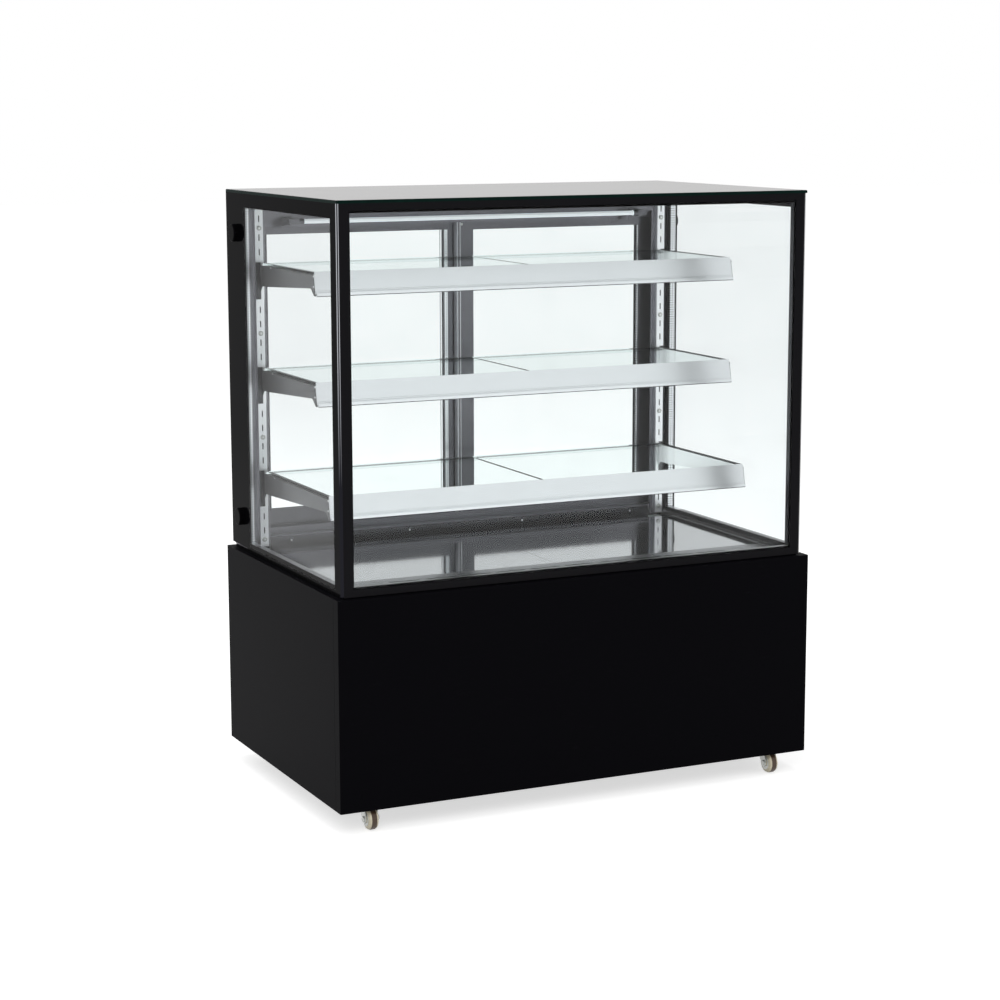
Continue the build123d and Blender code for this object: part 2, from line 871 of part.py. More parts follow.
def shelf_lamp(shelf):
    """Flat lamp bar on the back of a price rail."""
    ledge = shelf_heights[shelf] - shelf_pane - rail_wall
    slope = rail_lean / rail_height
    y = shelf_fronts[shelf] + rail_wall - slope * (shelf_heights[shelf] + rail_rise - ledge)
    high = ledge - shelf_lamp_drop
    low = high - shelf_lamp_height
    high_y = y - slope * shelf_lamp_drop
    low_y = high_y - slope * shelf_lamp_height
    points = ((high_y, high), (low_y, low), (low_y + shelf_lamp_depth, low + shelf_lamp_ease),
              (high_y + shelf_lamp_depth, high))
    return run_x(outline(*points), (-shelf_lamp_length / 2, shelf_lamp_length / 2))


def side_cap(z):
    """Round cap of the left glass, with a stud through the pane to the jamb."""
    x = -glass_x
    cap = rod_x(cap_radius, (x - cap_reach, x), cap_centre_y, z)
    cap = fillet(cap.edges().sort_by(Axis.X)[0], cap_round)
    return cap + rod_x(cap_stud_radius, (x, x + pane + seat), cap_centre_y, z)


def castor_top(x, y):
    """Castor's mounting plate with its upper race and king pin."""
    low = castor_height - castor_plate_wall
    square = RectangleRounded(castor_plate, castor_plate, castor_plate_round)
    plate = run_z(Pos(x, y) * square, (low, castor_height))
    race_low = low - race_height
    plate += rod_z(race_radius, x, y, (race_low, low))
    crown_low = race_low - crown_gap - crown_height
    head_high = crown_low - crown_gap
    plate += rod_z(king_pin_radius, x, y, (head_high - king_head, race_low))
    return plate + rod_z(king_head_radius, x, y, (head_high - king_head, head_high))


def castor_fork(x, y):
    """Castor's fork: crown, two leaning legs and the axle bolt."""
    crown_high = castor_height - castor_plate_wall - race_height - crown_gap
    crown_low = crown_high - crown_height
    fork = rod_z(crown_radius, x, y, (crown_low, crown_high))
    axle_y = y - castor_trail
    shoulder_z = crown_low + fork_shoulder_height / 2
    shoulder = Pos(y, shoulder_z) * Rectangle(2 * fork_shoulder, fork_shoulder_height)
    leg = make_hull((shoulder + Pos(axle_y, wheel_radius) * Circle(fork_end_radius)).edges())
    inner = hub_width / 2 + crown_gap
    for side in (-1, 1):
        ends = sorted((x + side * inner, x + side * (inner + fork_wall)))
        fork += run_x(leg, ends)
        ends = sorted((x + side * (inner + fork_wall), x + side * (inner + fork_wall + axle_head)))
        fork += run_x(Pos(axle_y, wheel_radius) * RegularPolygon(axle_head_radius, 6), ends)
    fork += rod_x(axle_radius, (x - inner, x + inner), axle_y, wheel_radius)
    return fork - rod_z(king_pin_radius + running, x, y, (crown_low, crown_high))


def castor_wheel(x, y):
    """Castor's wheel, turned about its axle, with eased shoulders and a stepped hub."""
    half = wheel_width / 2
    bore = axle_radius + running
    ease = wheel_shoulder / 3
    right = [(hub_width / 2, bore), (hub_width / 2, hub_radius), (half, hub_radius),
             (half, wheel_radius - wheel_shoulder), (half - ease, wheel_radius - ease),
             (half - wheel_shoulder, wheel_radius)]
    left = [(-along, out) for along, out in reversed(right)]
    return Pos(x, y - castor_trail, wheel_radius) * revolve(outline(*right, *left), Axis.X)


def coil_rows(z):
    """Heights of a coil's rows of tube."""
    rows = int((z[1] - z[0]) / (6 * tube_radius))
    pitch = (z[1] - z[0]) / rows
    return [z[0] + pitch * (row + 0.5) for row in range(rows)]


def finned_coil(x, y, z):
    """Coil block with fins standing proud of it, and round return bends at its right end."""
    core = slab(x, (y[0] + fin_reach, y[1] - fin_reach), (z[0] + fin_reach, z[1] - fin_reach))
    count = int((x[1] - x[0]) / fin_pitch)
    fins = []
    for number in range(count + 1):
        place = x[0] + number * (x[1] - x[0] - fin_wall) / count
        fins.append(slab((place, place + fin_wall), y, z))
    turn = revolve(Plane.YZ * Pos(0, 2 * tube_radius) * Circle(tube_radius), Axis.Y, 180)
    turns = [Pos(x[1], (y[0] + y[1]) / 2, height) * turn for height in coil_rows(z)[1:-1:2]]
    return [core + fins] + turns


def fan(radius, place):
    """Rotor with twisted blades on a bored hub, turning about Y. The place is the middle of the hub."""
    hub = Rot(X=90) * Cylinder(fan_hub_radius, fan_hub_length)
    disc = Rot(X=90) * Cylinder(radius, 4 * fan_hub_length)
    root = Plane((0, 0, fan_hub_radius - fan_blade_sink), x_dir=(1, -fan_root_twist, 0), z_dir=(0, 0, 1))
    tip = Plane((0, 0, radius), x_dir=(1, -fan_tip_twist, 0), z_dir=(0, 0, 1))
    blade = loft([root * Rectangle(fan_blade_root, fan_blade_wall),
                  tip * Rectangle(radius * blade_share, fan_blade_wall)])
    blade = blade & disc
    for number in range(fan_blades):
        hub += Rot(Y=360 / fan_blades * number) * blade
    bore = Rot(X=90) * Cylinder(motor_shaft_radius + running, 2 * fan_hub_length)
    return Pos(*place) * (hub - bore)


def fan_motor(place):
    """Motor in front of a fan, with its shaft through the hub and a strut to each side."""
    x, y, z = place
    start = y - fan_hub_length / 2 - motor_gap
    body = rod_y(motor_radius, x, (start - motor_length, start), z)
    body = chamfer(body.edges().filter_by(GeomType.CIRCLE), motor_ease)
    return body + rod_y(motor_shaft_radius, x, (start, y + fan_hub_length / 2), z)


def fan_plate(places, radius, x, z, y):
    """Fan plate with a round mouth for each fan and struts that carry the motors."""
    plate = slab(x, (y, y + shroud_wall), z)
    for place in places:
        mouth = radius + fan_tip_gap
        plate -= rod_y(mouth, place[0], (y, y + shroud_wall), place[2])
        ring = Circle(mouth + shroud_wall) - Circle(mouth)
        plate += run_y(Pos(place[0], place[2]) * ring, (y - fan_hub_length, y + shroud_wall))
    return plate


def motor_struts(place, radius, y):
    """Flat bars across a fan's mouth, which hold its motor."""
    reach = radius + fan_tip_gap + shroud_wall
    start = place[1] - fan_hub_length / 2 - motor_gap - strut_width
    z = (place[2] - strut_width / 2, place[2] + strut_width / 2)
    across = slab((place[0] - reach, place[0] + reach), (start, start + strut_wall), z)
    ends = []
    for side in (-1, 1):
        x = sorted((place[0] + side * (reach - strut_wall), place[0] + side * reach))
        ends.append(slab(x, (start, y), z))
    return across + ends


def stub_places():
    """Ends of the compressor's two pipe stubs: suction first, then discharge."""
    x = compressor_x - compressor_radius - stub_reach
    z = floor_top + compressor_foot
    suction = (x, compressor_y - stub_spread, z + suction_height)
    return [suction, (x, compressor_y + stub_spread, z + discharge_height)]


def compressor():
    """Compressor: domed shell on a foot plate with rubber feet, terminal cover and pipe stubs."""
    low = floor_top + compressor_foot
    radius = compressor_radius
    points = [(radius * out, compressor_height * full + radius * up) for out, full, up in shell_shares]
    shell = revolve(Plane.XZ * outline(*points), Axis.Z)
    body = Pos(compressor_x, compressor_y, low) * shell
    plate = RectangleRounded(foot_plate, foot_plate, foot_plate_round)
    plate_z = (low - foot_plate_wall[0], low + foot_plate_wall[1])
    body += run_z(Pos(compressor_x, compressor_y) * plate, plate_z)
    for across in (-foot_spread, foot_spread):
        for along in (-foot_spread, foot_spread):
            body += rod_z(foot_radius, compressor_x + across, compressor_y + along, (floor_top, plate_z[0]))
    inside = compressor_x - radius + shell_overlap
    body += slab((compressor_x - radius - terminal_reach, inside),
                 (compressor_y - terminal_width / 2, compressor_y + terminal_width / 2),
                 (low + terminal_height[0], low + terminal_height[1]))
    for x, y, z in stub_places():
        body += rod_x(pipe_radius, (x, inside), y, z)
    return body


def pipe(points):
    """Round pipe along straight runs joined by arcs."""
    path = FilletPolyline(*points, radius=pipe_bend)
    start = Plane(path @ 0, z_dir=path % 0)
    return sweep(start * Circle(pipe_radius), path=path)


def drip_pan():
    """Open pan on the floor sheet, which catches the water that drains from the tub."""
    x = (pan_x - pan_width / 2, pan_x + pan_width / 2)
    y = (pan_y - pan_depth / 2, pan_y + pan_depth / 2)
    pan = slab(x, y, (floor_top, floor_top + pan_height))
    return pan - slab((x[0] + pan_wall, x[1] - pan_wall), (y[0] + pan_wall, y[1] - pan_wall),
                      (floor_top + pan_wall, floor_top + pan_height))


def button_places():
    """Places of the controller's three buttons along X."""
    right = controller_x + bezel_width / 2 - display_side
    names = ("set_button", "up_button", "down_button")
    return {name: right - number * button_pitch for number, name in enumerate(names)}


def controller():
    """Temperature controller: bezel, housing behind the rear sheet, display window and button wells."""
    y = rear_panel_y
    face = RectangleRounded(bezel_width, bezel_height, bezel_round)
    bezel = run_y(Pos(controller_x, controls_z) * face, (y, y + bezel_wall))
    half = (bezel_width / 2 - cutout_margin - seat, bezel_height / 2 - cutout_margin - seat)
    housing = slab((controller_x - half[0], controller_x + half[0]), (y - controller_depth, y),
                   (controls_z - half[1], controls_z + half[1]))
    body = bezel + housing
    left = controller_x - bezel_width / 2 + display_side
    body -= slab((left, left + display_width), (y + bezel_wall - display_sink, y + bezel_wall),
                 (controls_z - display_height / 2, controls_z + display_height / 2))
    well = button_size / 2 + seat
    for x in button_places().values():
        body -= slab((x - well, x + well), (y + bezel_wall - button_stem, y + bezel_wall),
                     (controls_z - well, controls_z + well))
    return body


def button(x):
    """Square button with its stem in the controller's well."""
    y = rear_panel_y + bezel_wall
    half = button_size / 2
    cap = slab((x - half, x + half), (y - button_stem + button_travel + seat, y + button_stand),
               (controls_z - half, controls_z + half))
    return fillet(cap.edges().filter_by(Axis.Y), button_round)


def light_switch():
    """Rocker of the lamp switch with its two trunnions, tipped about them to one side."""
    width = switch_width / 2 - rocker_margin
    height = switch_height / 2 - 1.5 * rocker_margin
    face = rocker_face
    points = ((face, height), (rocker_rim, height), (1 - face, 0), (rocker_rim, -height), (face, -height))
    rocker = run_x(outline(*points), (-width, width))
    rocker += rod_x(trunnion_radius, (-switch_width / 2 + seat, switch_width / 2 - seat), 0, 0)
    return Pos(switch_x, rear_panel_y - rocker_depth, controls_z) * Rot(X=-rocker_tilt) * rocker


def switch_frame():
    """Bezel of the lamp switch with its housing behind the rear sheet."""
    y = rear_panel_y
    inner = Rectangle(switch_width - 2 * switch_wall, switch_height - 2 * switch_wall)
    outer = Rectangle(switch_width - 2 * seat, switch_height - 2 * seat)
    flange = Rectangle(switch_width + 2 * switch_flange, switch_height + 2 * switch_flange)
    place = Pos(switch_x, controls_z)
    bezel = run_y(place * (flange - inner), (y, y + sheet))
    housing = run_y(place * (outer - inner), (y - switch_depth, y))
    housing -= rod_x(trunnion_radius + running, (switch_x - switch_width, switch_x + switch_width),
                     y - rocker_depth, controls_z)
    return bezel + housing + run_y(place * outer, (y - switch_depth - switch_back, y - switch_depth))


def cord_gland():
    """Closed cord gland in the rear sheet: a six-sided nut outside and a threaded body inside."""
    y = rear_panel_y
    hexagon = Pos(gland_x, gland_z) * RegularPolygon(gland_radius, 6)
    nut = run_y(hexagon, (y, y + gland_reach))
    body = rod_y(gland_body_radius - seat, gland_x, (y - gland_body_length, y), gland_z)
    lock_nut = run_y(hexagon, (y - lock_nut_end, y - sheet))
    return nut + body + lock_nut


def unit_places():
    """Blocks of the condenser and of the evaporator, as their x, y and z ranges."""
    condenser = ((condenser_x - condenser_width / 2, condenser_x + condenser_width / 2),
                 (condenser_back - condenser_thickness, condenser_back),
                 (floor_top, floor_top + condenser_height))
    evaporator = ((-evaporator_width / 2, evaporator_width / 2),
                  (evaporator_back - evaporator_thickness, evaporator_back),
                  (tub_floor, tub_floor + evaporator_height))
    return condenser, evaporator


def fan_hub(x, plate_y, z):
    """Middle of the hub of a fan that turns in the mouth of a plate."""
    return (x, plate_y - fan_hub_length / 2, z)


def condenser_fan_parts():
    """Shroud with its motor, and the rotor of the condenser's fan."""
    x, y, z = unit_places()[0]
    plate_y = y[0] - shroud_depth
    place = fan_hub((x[0] + x[1]) / 2, plate_y, (z[0] + z[1]) / 2)
    mount = fan_plate([place], condenser_fan_radius, x, z, plate_y)
    outer = window(x, z)
    mount += run_y(outer - offset(outer, -shroud_wall, kind=Kind.INTERSECTION), (plate_y, y[0]))
    mount += motor_struts(place, condenser_fan_radius, plate_y)
    return mount + fan_motor(place), fan(condenser_fan_radius, place)


def evaporator_fan_parts():
    """Fan plate in front of the evaporator with its two motors, and the left and the right rotor."""
    x, y, z = unit_places()[1]
    plate_y = y[0] - evaporator_fan_gap
    mouth = evaporator_fan_radius + fan_tip_gap + shroud_wall
    z = (tub_floor, tub_floor + 2 * mouth)
    places = [fan_hub(side * evaporator_fan_spacing / 2, plate_y, tub_floor + mouth) for side in (-1, 1)]
    mount = fan_plate(places, evaporator_fan_radius, x, z, plate_y)
    rotors = []
    for place in places:
        mount += motor_struts(place, evaporator_fan_radius, plate_y)
        mount += fan_motor(place)
        rotors.append(fan(evaporator_fan_radius, place))
    return mount, rotors


def pipes():
    """Discharge, liquid and suction pipes, and the drain from the tub to the pan."""
    x, y, z = unit_places()[0]
    suction, discharge = stub_places()
    rows = coil_rows(z)
    coil_y = (y[0] + y[1]) / 2
    ceiling = tub_floor - tub_wall
    turn_x = x[1] + discharge_reach
    rise_x = suction[0] - suction_reach
    liquid_x = x[1] + liquid_reach
    routes = [
        (suction, (rise_x, suction[1], suction[2]), (rise_x, suction[1], ceiling)),
        (discharge, (turn_x, discharge[1], discharge[2]), (turn_x, discharge[1], rows[-1]),
         (turn_x, coil_y, rows[-1]), (x[1], coil_y, rows[-1])),
        ((x[1], coil_y, rows[0]), (liquid_x, coil_y, rows[0]), (liquid_x, liquid_y, rows[0]),
         (liquid_x, liquid_y, ceiling)),
    ]
    lines = [pipe(route) for route in routes]
    return lines + [rod_z(drain_radius, pan_x, pan_y, (floor_top + pan_height + drain_gap, ceiling))]


save("base_frame", base_frame())
save("front_panel", front_panel())
left_side = side_panel()
save("left_panel", left_side)
save("right_panel", mirror(left_side, about=Plane.YZ))
save("rear_grille", rear_grille(), cord_gland(), switch_frame())
save("glass_rim", top_rim())
save("tub", tub())
save("deck", *both_sides(deck_half()))
save("front_air_grille", front_air_grille())
save("rear_wall", rear_wall(), *[wall_rivet(x) for x in wall_rivet_places])

save("front_glass", front_glass())
left_pane = side_glass()
save("left_glass", left_pane)
save("right_glass", mirror(left_pane, about=Plane.YZ))
save("inner_panes", *inner_panes())
save("glass_spacers", *glass_spacers())
save("top_glass", top_glass())
save("corner_strips", *both_sides(corner_strip()))
caps = [both_sides(side_cap(z)) for z in cap_heights]
save("side_caps", *caps[0], *caps[1])

save("door_frame", door_frame())
save("right_door_frame", door_sash(inner_door_y))
save("right_door_glass", *door_panes(inner_door_y))
save("left_door_frame", mirror(door_sash(outer_door_y), about=Plane.YZ))
save("left_door_glass", *[mirror(one, about=Plane.YZ) for one in door_panes(outer_door_y)])

right_upright = [upright()] + [upright_screw(z) for z in screw_heights]
save("uprights", *right_upright, *[mirror(one, about=Plane.YZ) for one in right_upright])
for shelf in shelf_heights:
    riveted = bracket(shelf) + bracket_rivets(shelf)
    save(f"{shelf}_brackets", *both_sides(riveted))
    save(f"{shelf}_price_rail", price_rail(shelf))
    save(f"{shelf}_shelf_glass", *shelf_glass(shelf))
save("shelf_rear_strips", *[rear_strip(shelf) for shelf in shelf_heights])
save("shelf_lamps", *[shelf_lamp(shelf) for shelf in shelf_heights])
save("roof_lamp", *roof_lamp())

corners = {"front_left": (-1, -1), "front_right": (1, -1), "rear_left": (-1, 1), "rear_right": (1, 1)}
places = {name: (castor_x * across, castor_y * along) for name, (across, along) in corners.items()}
save("castor_plates", *[castor_top(*place) for place in places.values()])
for name, place in places.items():
    save(f"{name}_fork", castor_fork(*place))
    save(f"{name}_wheel", castor_wheel(*place))

save("compressor", compressor())
save("condenser", *finned_coil(*unit_places()[0]))
shroud, rotor = condenser_fan_parts()
save("condenser_fan_mount", shroud)
save("condenser_fan", rotor)
save("evaporator", *finned_coil(*unit_places()[1]))
fan_mount, rotors = evaporator_fan_parts()
save("evaporator_fan_mount", fan_mount)
save("left_evaporator_fan", rotors[0])
save("right_evaporator_fan", rotors[1])
save("pipes", *pipes())
save("drip_pan", drip_pan())

save("controller", controller())
for name, x in button_places().items():
    save(name, button(x))
save("light_switch", light_switch())
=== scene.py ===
# %% [markdown]
# # A refrigerated display case
# This lesson dresses a finished CAD model of a glass display case. The model comes in as a fixed frame:
# its pieces keep their places, and the looks are made here. Everything is in metres, X to the right along
# the front, Y to the back and Z up. The size of the frame is noted straight away, so that it can be
# compared with the dressed case.

# %% Load the frame
import bpy
import json
import math
from mathutils import Matrix, Vector


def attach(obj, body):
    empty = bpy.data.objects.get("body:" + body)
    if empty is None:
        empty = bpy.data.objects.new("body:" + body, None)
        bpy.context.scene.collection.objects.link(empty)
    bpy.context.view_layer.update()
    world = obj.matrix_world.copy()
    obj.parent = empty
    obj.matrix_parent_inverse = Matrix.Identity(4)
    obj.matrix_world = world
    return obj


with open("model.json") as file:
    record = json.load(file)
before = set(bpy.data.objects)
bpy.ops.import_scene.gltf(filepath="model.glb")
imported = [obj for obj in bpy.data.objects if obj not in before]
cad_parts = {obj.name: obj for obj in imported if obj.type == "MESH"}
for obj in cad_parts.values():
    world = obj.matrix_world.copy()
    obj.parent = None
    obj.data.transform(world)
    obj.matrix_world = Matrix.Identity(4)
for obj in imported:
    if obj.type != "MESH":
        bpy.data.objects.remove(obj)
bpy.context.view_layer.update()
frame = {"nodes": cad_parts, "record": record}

scene = bpy.context.scene
nodes = frame["nodes"]
slot_of = {part["node"]: part["material_slot"] for part in frame["record"]["subparts"]}
print("nodes:", len(nodes), "slots:", len(set(slot_of.values())))

# %% [markdown]
# ## Node helpers
# Every look below is a tree of nodes. Three small helpers keep the trees short to read: one for a sum,
# one for a mix of two surfaces, and one for the plain values of a node.

# %% Node helpers
def step(tree, operation, *values):
    """One sum on numbers or on the outputs of other nodes."""
    node = tree.nodes.new("ShaderNodeMath")
    node.operation = operation
    for socket, value in zip(node.inputs, values):
        if isinstance(value, (int, float)):
            socket.default_value = value
        else:
            tree.links.new(value, socket)
    return node.outputs[0]


def blend(tree, share, first, second):
    """The first surface where the share is 0, and the second where it is 1."""
    mix = tree.nodes.new("ShaderNodeMixShader")
    for socket, source in zip(mix.inputs, (share, first, second)):
        tree.links.new(source, socket)
    return mix.outputs[0]


def set_values(node, values):
    """Plain values for the named inputs of a node."""
    for name, value in values.items():
        node.inputs[name].default_value = value


print("helpers:", step.__name__, blend.__name__, set_values.__name__)

# %% [markdown]
# ## The camera
# A long lens from the front left, a little above the top of the case, keeps the upright edges nearly
# parallel. The place, the turn and the lens were fitted to the corners of the real case, so the camera is
# set by numbers.

# %% Camera
CAMERA_PLACE = (-2.43519, -5.03620, 1.60820)
CAMERA_YAW = 0.444323
CAMERA_PITCH = 0.169369
CAMERA_ROLL = 0.002131
FOCAL_SHARE = 2.36791
SENSOR_WIDTH = 36
FARTHEST = 60

camera_data = bpy.data.cameras.new("camera")
camera_data.sensor_width = SENSOR_WIDTH
camera_data.lens = FOCAL_SHARE * SENSOR_WIDTH
camera_data.dof.use_dof = False
camera_data.clip_end = FARTHEST
camera = bpy.data.objects.new("camera", camera_data)
scene.collection.objects.link(camera)
camera.location = CAMERA_PLACE
turn = Matrix.Rotation(-CAMERA_YAW, 4, "Z") @ Matrix.Rotation(math.pi / 2 - CAMERA_PITCH, 4, "X")
camera.rotation_euler = (turn @ Matrix.Rotation(-CAMERA_ROLL, 4, "Z")).to_euler()
scene.camera = camera
print("lens:", round(camera_data.lens, 1), "mm")

# %% [markdown]
# ## The studio
# Glass and polished metal show the room they stand in, so the room matters as much as the lamps. The
# backdrop is plain white to the camera, to mirrors and through glass, and gives the object a soft, even
# light.

# %% World
AMBIENT = 0.62

scene.view_settings.view_transform = "Standard"


def white_rays(tree):
    """1 for a ray from the camera, a mirror or through glass, and 0 for one that only carries light."""
    path = tree.nodes.new("ShaderNodeLightPath")
    total = path.outputs["Is Camera Ray"]
    for name in ("Is Glossy Ray", "Is Transmission Ray"):
        total = step(tree, "MAXIMUM", total, path.outputs[name])
    return total


world = bpy.data.worlds.new("studio")
scene.world = world
world.use_nodes = True
tree = world.node_tree
tree.nodes.clear()
strength = tree.nodes.new("ShaderNodeMapRange")
set_values(strength, {"To Min": AMBIENT, "To Max": 1})
tree.links.new(white_rays(tree), strength.inputs["Value"])
backdrop = tree.nodes.new("ShaderNodeBackground")
set_values(backdrop, {"Color": (1, 1, 1, 1)})
tree.links.new(strength.outputs[0], backdrop.inputs["Strength"])
output = tree.nodes.new("ShaderNodeOutputWorld")
tree.links.new(backdrop.outputs[0], output.inputs["Surface"])
print("ambient light:", AMBIENT)

# %% [markdown]
# The floor is a wide pale sheet. Part of its brightness is its own, so that it melts into the backdrop
# where nothing stands over it, and the rest is lit, so that the case still has its soft shadow
# underneath. It lies a hair below the wheels, so that the two never share a face.

# %% Floor
FLOOR_SIZE = 60
FLOOR_DROP = 0.0005
FLOOR_CUTS = 3
FLOOR_PALE = 0.62
FLOOR_GLOW = 0.64

bpy.ops.object.select_all(action="DESELECT")
bpy.ops.mesh.primitive_plane_add(size=FLOOR_SIZE, location=(0, 0, -FLOOR_DROP))
floor = bpy.context.object
floor.name = "floor"
bpy.ops.object.mode_set(mode="EDIT")
bpy.ops.mesh.subdivide(number_cuts=FLOOR_CUTS)
bpy.ops.object.mode_set(mode="OBJECT")
paint = bpy.data.materials.new("floor_paint")
paint.use_nodes = True
tree = paint.node_tree
tree.nodes.clear()
pale = tree.nodes.new("ShaderNodeBsdfDiffuse")
set_values(pale, {"Color": (FLOOR_PALE, FLOOR_PALE, FLOOR_PALE, 1)})
glow = tree.nodes.new("ShaderNodeEmission")
tree.links.new(step(tree, "MULTIPLY", white_rays(tree), FLOOR_GLOW), glow.inputs["Strength"])
both = tree.nodes.new("ShaderNodeAddShader")
tree.links.new(pale.outputs[0], both.inputs[0])
tree.links.new(glow.outputs[0], both.inputs[1])
output = tree.nodes.new("ShaderNodeOutputMaterial")
tree.links.new(both.outputs[0], output.inputs["Surface"])
floor.data.materials.append(paint)
print("floor:", FLOOR_SIZE, "m across")

# %% [markdown]
# Four big soft lamps do the rest: one from the front left, a weaker one from the right, one from above
# and one from behind. They are large, so no hard spot shows in the panes, and weak, so that a colour
# comes out about as it is written.

# %% Lamps
# A row is the place, the width and the power in watts.
LAMPS = {
    "key": ((-3.2, -4.2, 4.0), 3.0, 95),
    "fill": ((4.2, -3.4, 2.6), 3.0, 45),
    "top": ((0.0, 0.4, 4.6), 3.5, 60),
    "rear": ((-1.0, 4.6, 3.0), 3.0, 50),
}
AIM = Vector((0, 0, 0.8))

for name, (place, size, power) in LAMPS.items():
    data = bpy.data.lights.new(name, "AREA")
    data.shape = "SQUARE"
    data.size = size
    data.energy = power
    lamp = bpy.data.objects.new(name, data)
    scene.collection.objects.link(lamp)
    lamp.location = place
    lamp.rotation_euler = (AIM - Vector(place)).to_track_quat("-Z", "Y").to_euler()
    lamp.visible_camera = False
    lamp.visible_glossy = False
    lamp.visible_transmission = False
print("lamps:", len(LAMPS))

# %% [markdown]
# ## Finishes
# Nothing on a real case is one flat colour. Sheet metal has a grain, powder coat has a fine orange-peel
# surface and castings are a little blotchy. Each finish below is a plain shader with a noise behind its
# colour and its roughness. The noise reads Object coordinates, so it stays on the piece when a door
# slides or a castor turns.

# %% Finish helpers
NOISE_DETAIL = 4
RAMP_ENDS = (0.3, 0.7)
BUMP_STRENGTH = 0.6
EVENLY = (1, 1, 1)
ALONG_X = (1, 40, 40)
ALONG_Y = (40, 1, 40)
ALONG_Z = (40, 40, 1)


def new_material(name):
    """A material with its node tree and its shader."""
    made = bpy.data.materials.new(name)
    made.use_nodes = True
    return made, made.node_tree, made.node_tree.nodes["Principled BSDF"]


def object_place(tree):
    """The Object coordinates."""
    return tree.nodes.new("ShaderNodeTexCoord").outputs["Object"]


def speckle(tree, scale, stretch=EVENLY):
    """Noise of that scale, drawn out along the axes where the stretch is small."""
    mapping = tree.nodes.new("ShaderNodeMapping")
    noise = tree.nodes.new("ShaderNodeTexNoise")
    set_values(mapping, {"Scale": stretch})
    set_values(noise, {"Scale": scale, "Detail": NOISE_DETAIL})
    tree.links.new(object_place(tree), mapping.inputs["Vector"])
    tree.links.new(mapping.outputs[0], noise.inputs["Vector"])
    return noise.outputs["Fac"]


def shades(tree, value, dark, light):
    """A colour that runs between two shades with the value."""
    ramp = tree.nodes.new("ShaderNodeValToRGB")
    for element, position, colour in zip(ramp.color_ramp.elements, RAMP_ENDS, (dark, light)):
        element.position = position
        element.color = (*colour, 1)
    tree.links.new(value, ramp.inputs["Fac"])
    return ramp.outputs["Color"]


def between(tree, value, low, high):
    """A number that runs between two values with the value."""
    spread = tree.nodes.new("ShaderNodeMapRange")
    set_values(spread, {"To Min": low, "To Max": high})
    tree.links.new(value, spread.inputs["Value"])
    return spread.outputs[0]


def relief(tree, shader, value, depth):
    """Tiny hills and hollows that follow the value."""
    bump = tree.nodes.new("ShaderNodeBump")
    set_values(bump, {"Strength": BUMP_STRENGTH, "Distance": depth})
    tree.links.new(value, bump.inputs["Height"])
    tree.links.new(bump.outputs[0], shader.inputs["Normal"])


def finish(name, colour, vary, rough, scale, metal=0, gloss=0.5, stretch=EVENLY, depth=0):
    """A finish of one colour that varies by a share, with its roughness, grain and relief."""
    made, tree, shader = new_material(name)
    noise = speckle(tree, scale, stretch)
    dark = [part * (1 - vary) for part in colour]
    light = [part * (1 + vary) for part in colour]
    tree.links.new(shades(tree, noise, dark, light), shader.inputs["Base Color"])
    tree.links.new(between(tree, noise, *rough), shader.inputs["Roughness"])
    set_values(shader, {"Metallic": metal, "Specular IOR Level": gloss})
    if depth:
        relief(tree, shader, noise, depth)
    return made


def layer(tree, scale, dark, light, values):
    """One more shader in a material, with a noise between two shades."""
    shader = tree.nodes.new("ShaderNodeBsdfPrincipled")
    tree.links.new(shades(tree, speckle(tree, scale), dark, light), shader.inputs["Base Color"])
    set_values(shader, values)
    return shader.outputs[0]


print("helpers:", speckle.__name__, shades.__name__, finish.__name__, layer.__name__)

# %% [markdown]
# The base is folded from black powder-coated sheet. Its gloss is kept very low, because the studio is
# white all round, and black only looks black where it throws little of that back.

# %% Painted metal and plastics
# A row is the colour, how far it varies, the least and most roughness, the gloss, the grain, the relief.
PAINTS = {
    "cabinet_black": ((0.0028, 0.0027, 0.0036), 0.15, (0.42, 0.52), 0.012, 700, 0.00002),
    "frame_black": ((0.004, 0.004, 0.005), 0.2, (0.45, 0.6), 0.03, 300, 0),
    "black_cap": ((0.0022, 0.0021, 0.0026), 0.2, (0.3, 0.4), 0.008, 200, 0),
    "liner_grey": ((0.42, 0.43, 0.44), 0.06, (0.4, 0.5), 0.5, 60, 0),
    "compressor_black": ((0.012, 0.012, 0.013), 0.3, (0.3, 0.5), 0.3, 90, 0.0001),
    "fan_black": ((0.01, 0.01, 0.011), 0.2, (0.4, 0.5), 0.3, 120, 0),
    "controller_black": ((0.012, 0.012, 0.013), 0.2, (0.35, 0.45), 0.3, 900, 0.00001),
    "button_grey": ((0.24, 0.25, 0.26), 0.08, (0.4, 0.5), 0.4, 900, 0),
    "switch_green": ((0.02, 0.3, 0.09), 0.12, (0.2, 0.3), 0.5, 400, 0),
}

finishes = {}
for name, (colour, vary, rough, gloss, grain, depth) in PAINTS.items():
    finishes[name] = finish(name, colour, vary, rough, grain, gloss=gloss, depth=depth)
print("painted:", len(finishes))

# %% [markdown]
# Bare metal takes its colour from what it mirrors, so these are metallic, and the grain of the sheet runs
# the way it was rolled or drawn: along the rails, and up the uprights. The wall under the doors is the
# same steel as the rest, but it faces the dark base and reads much darker, so that darkness is painted
# into its own darker copy of the steel: painted shade.

# %% Bare metal
DRAWN_GRAIN = 30
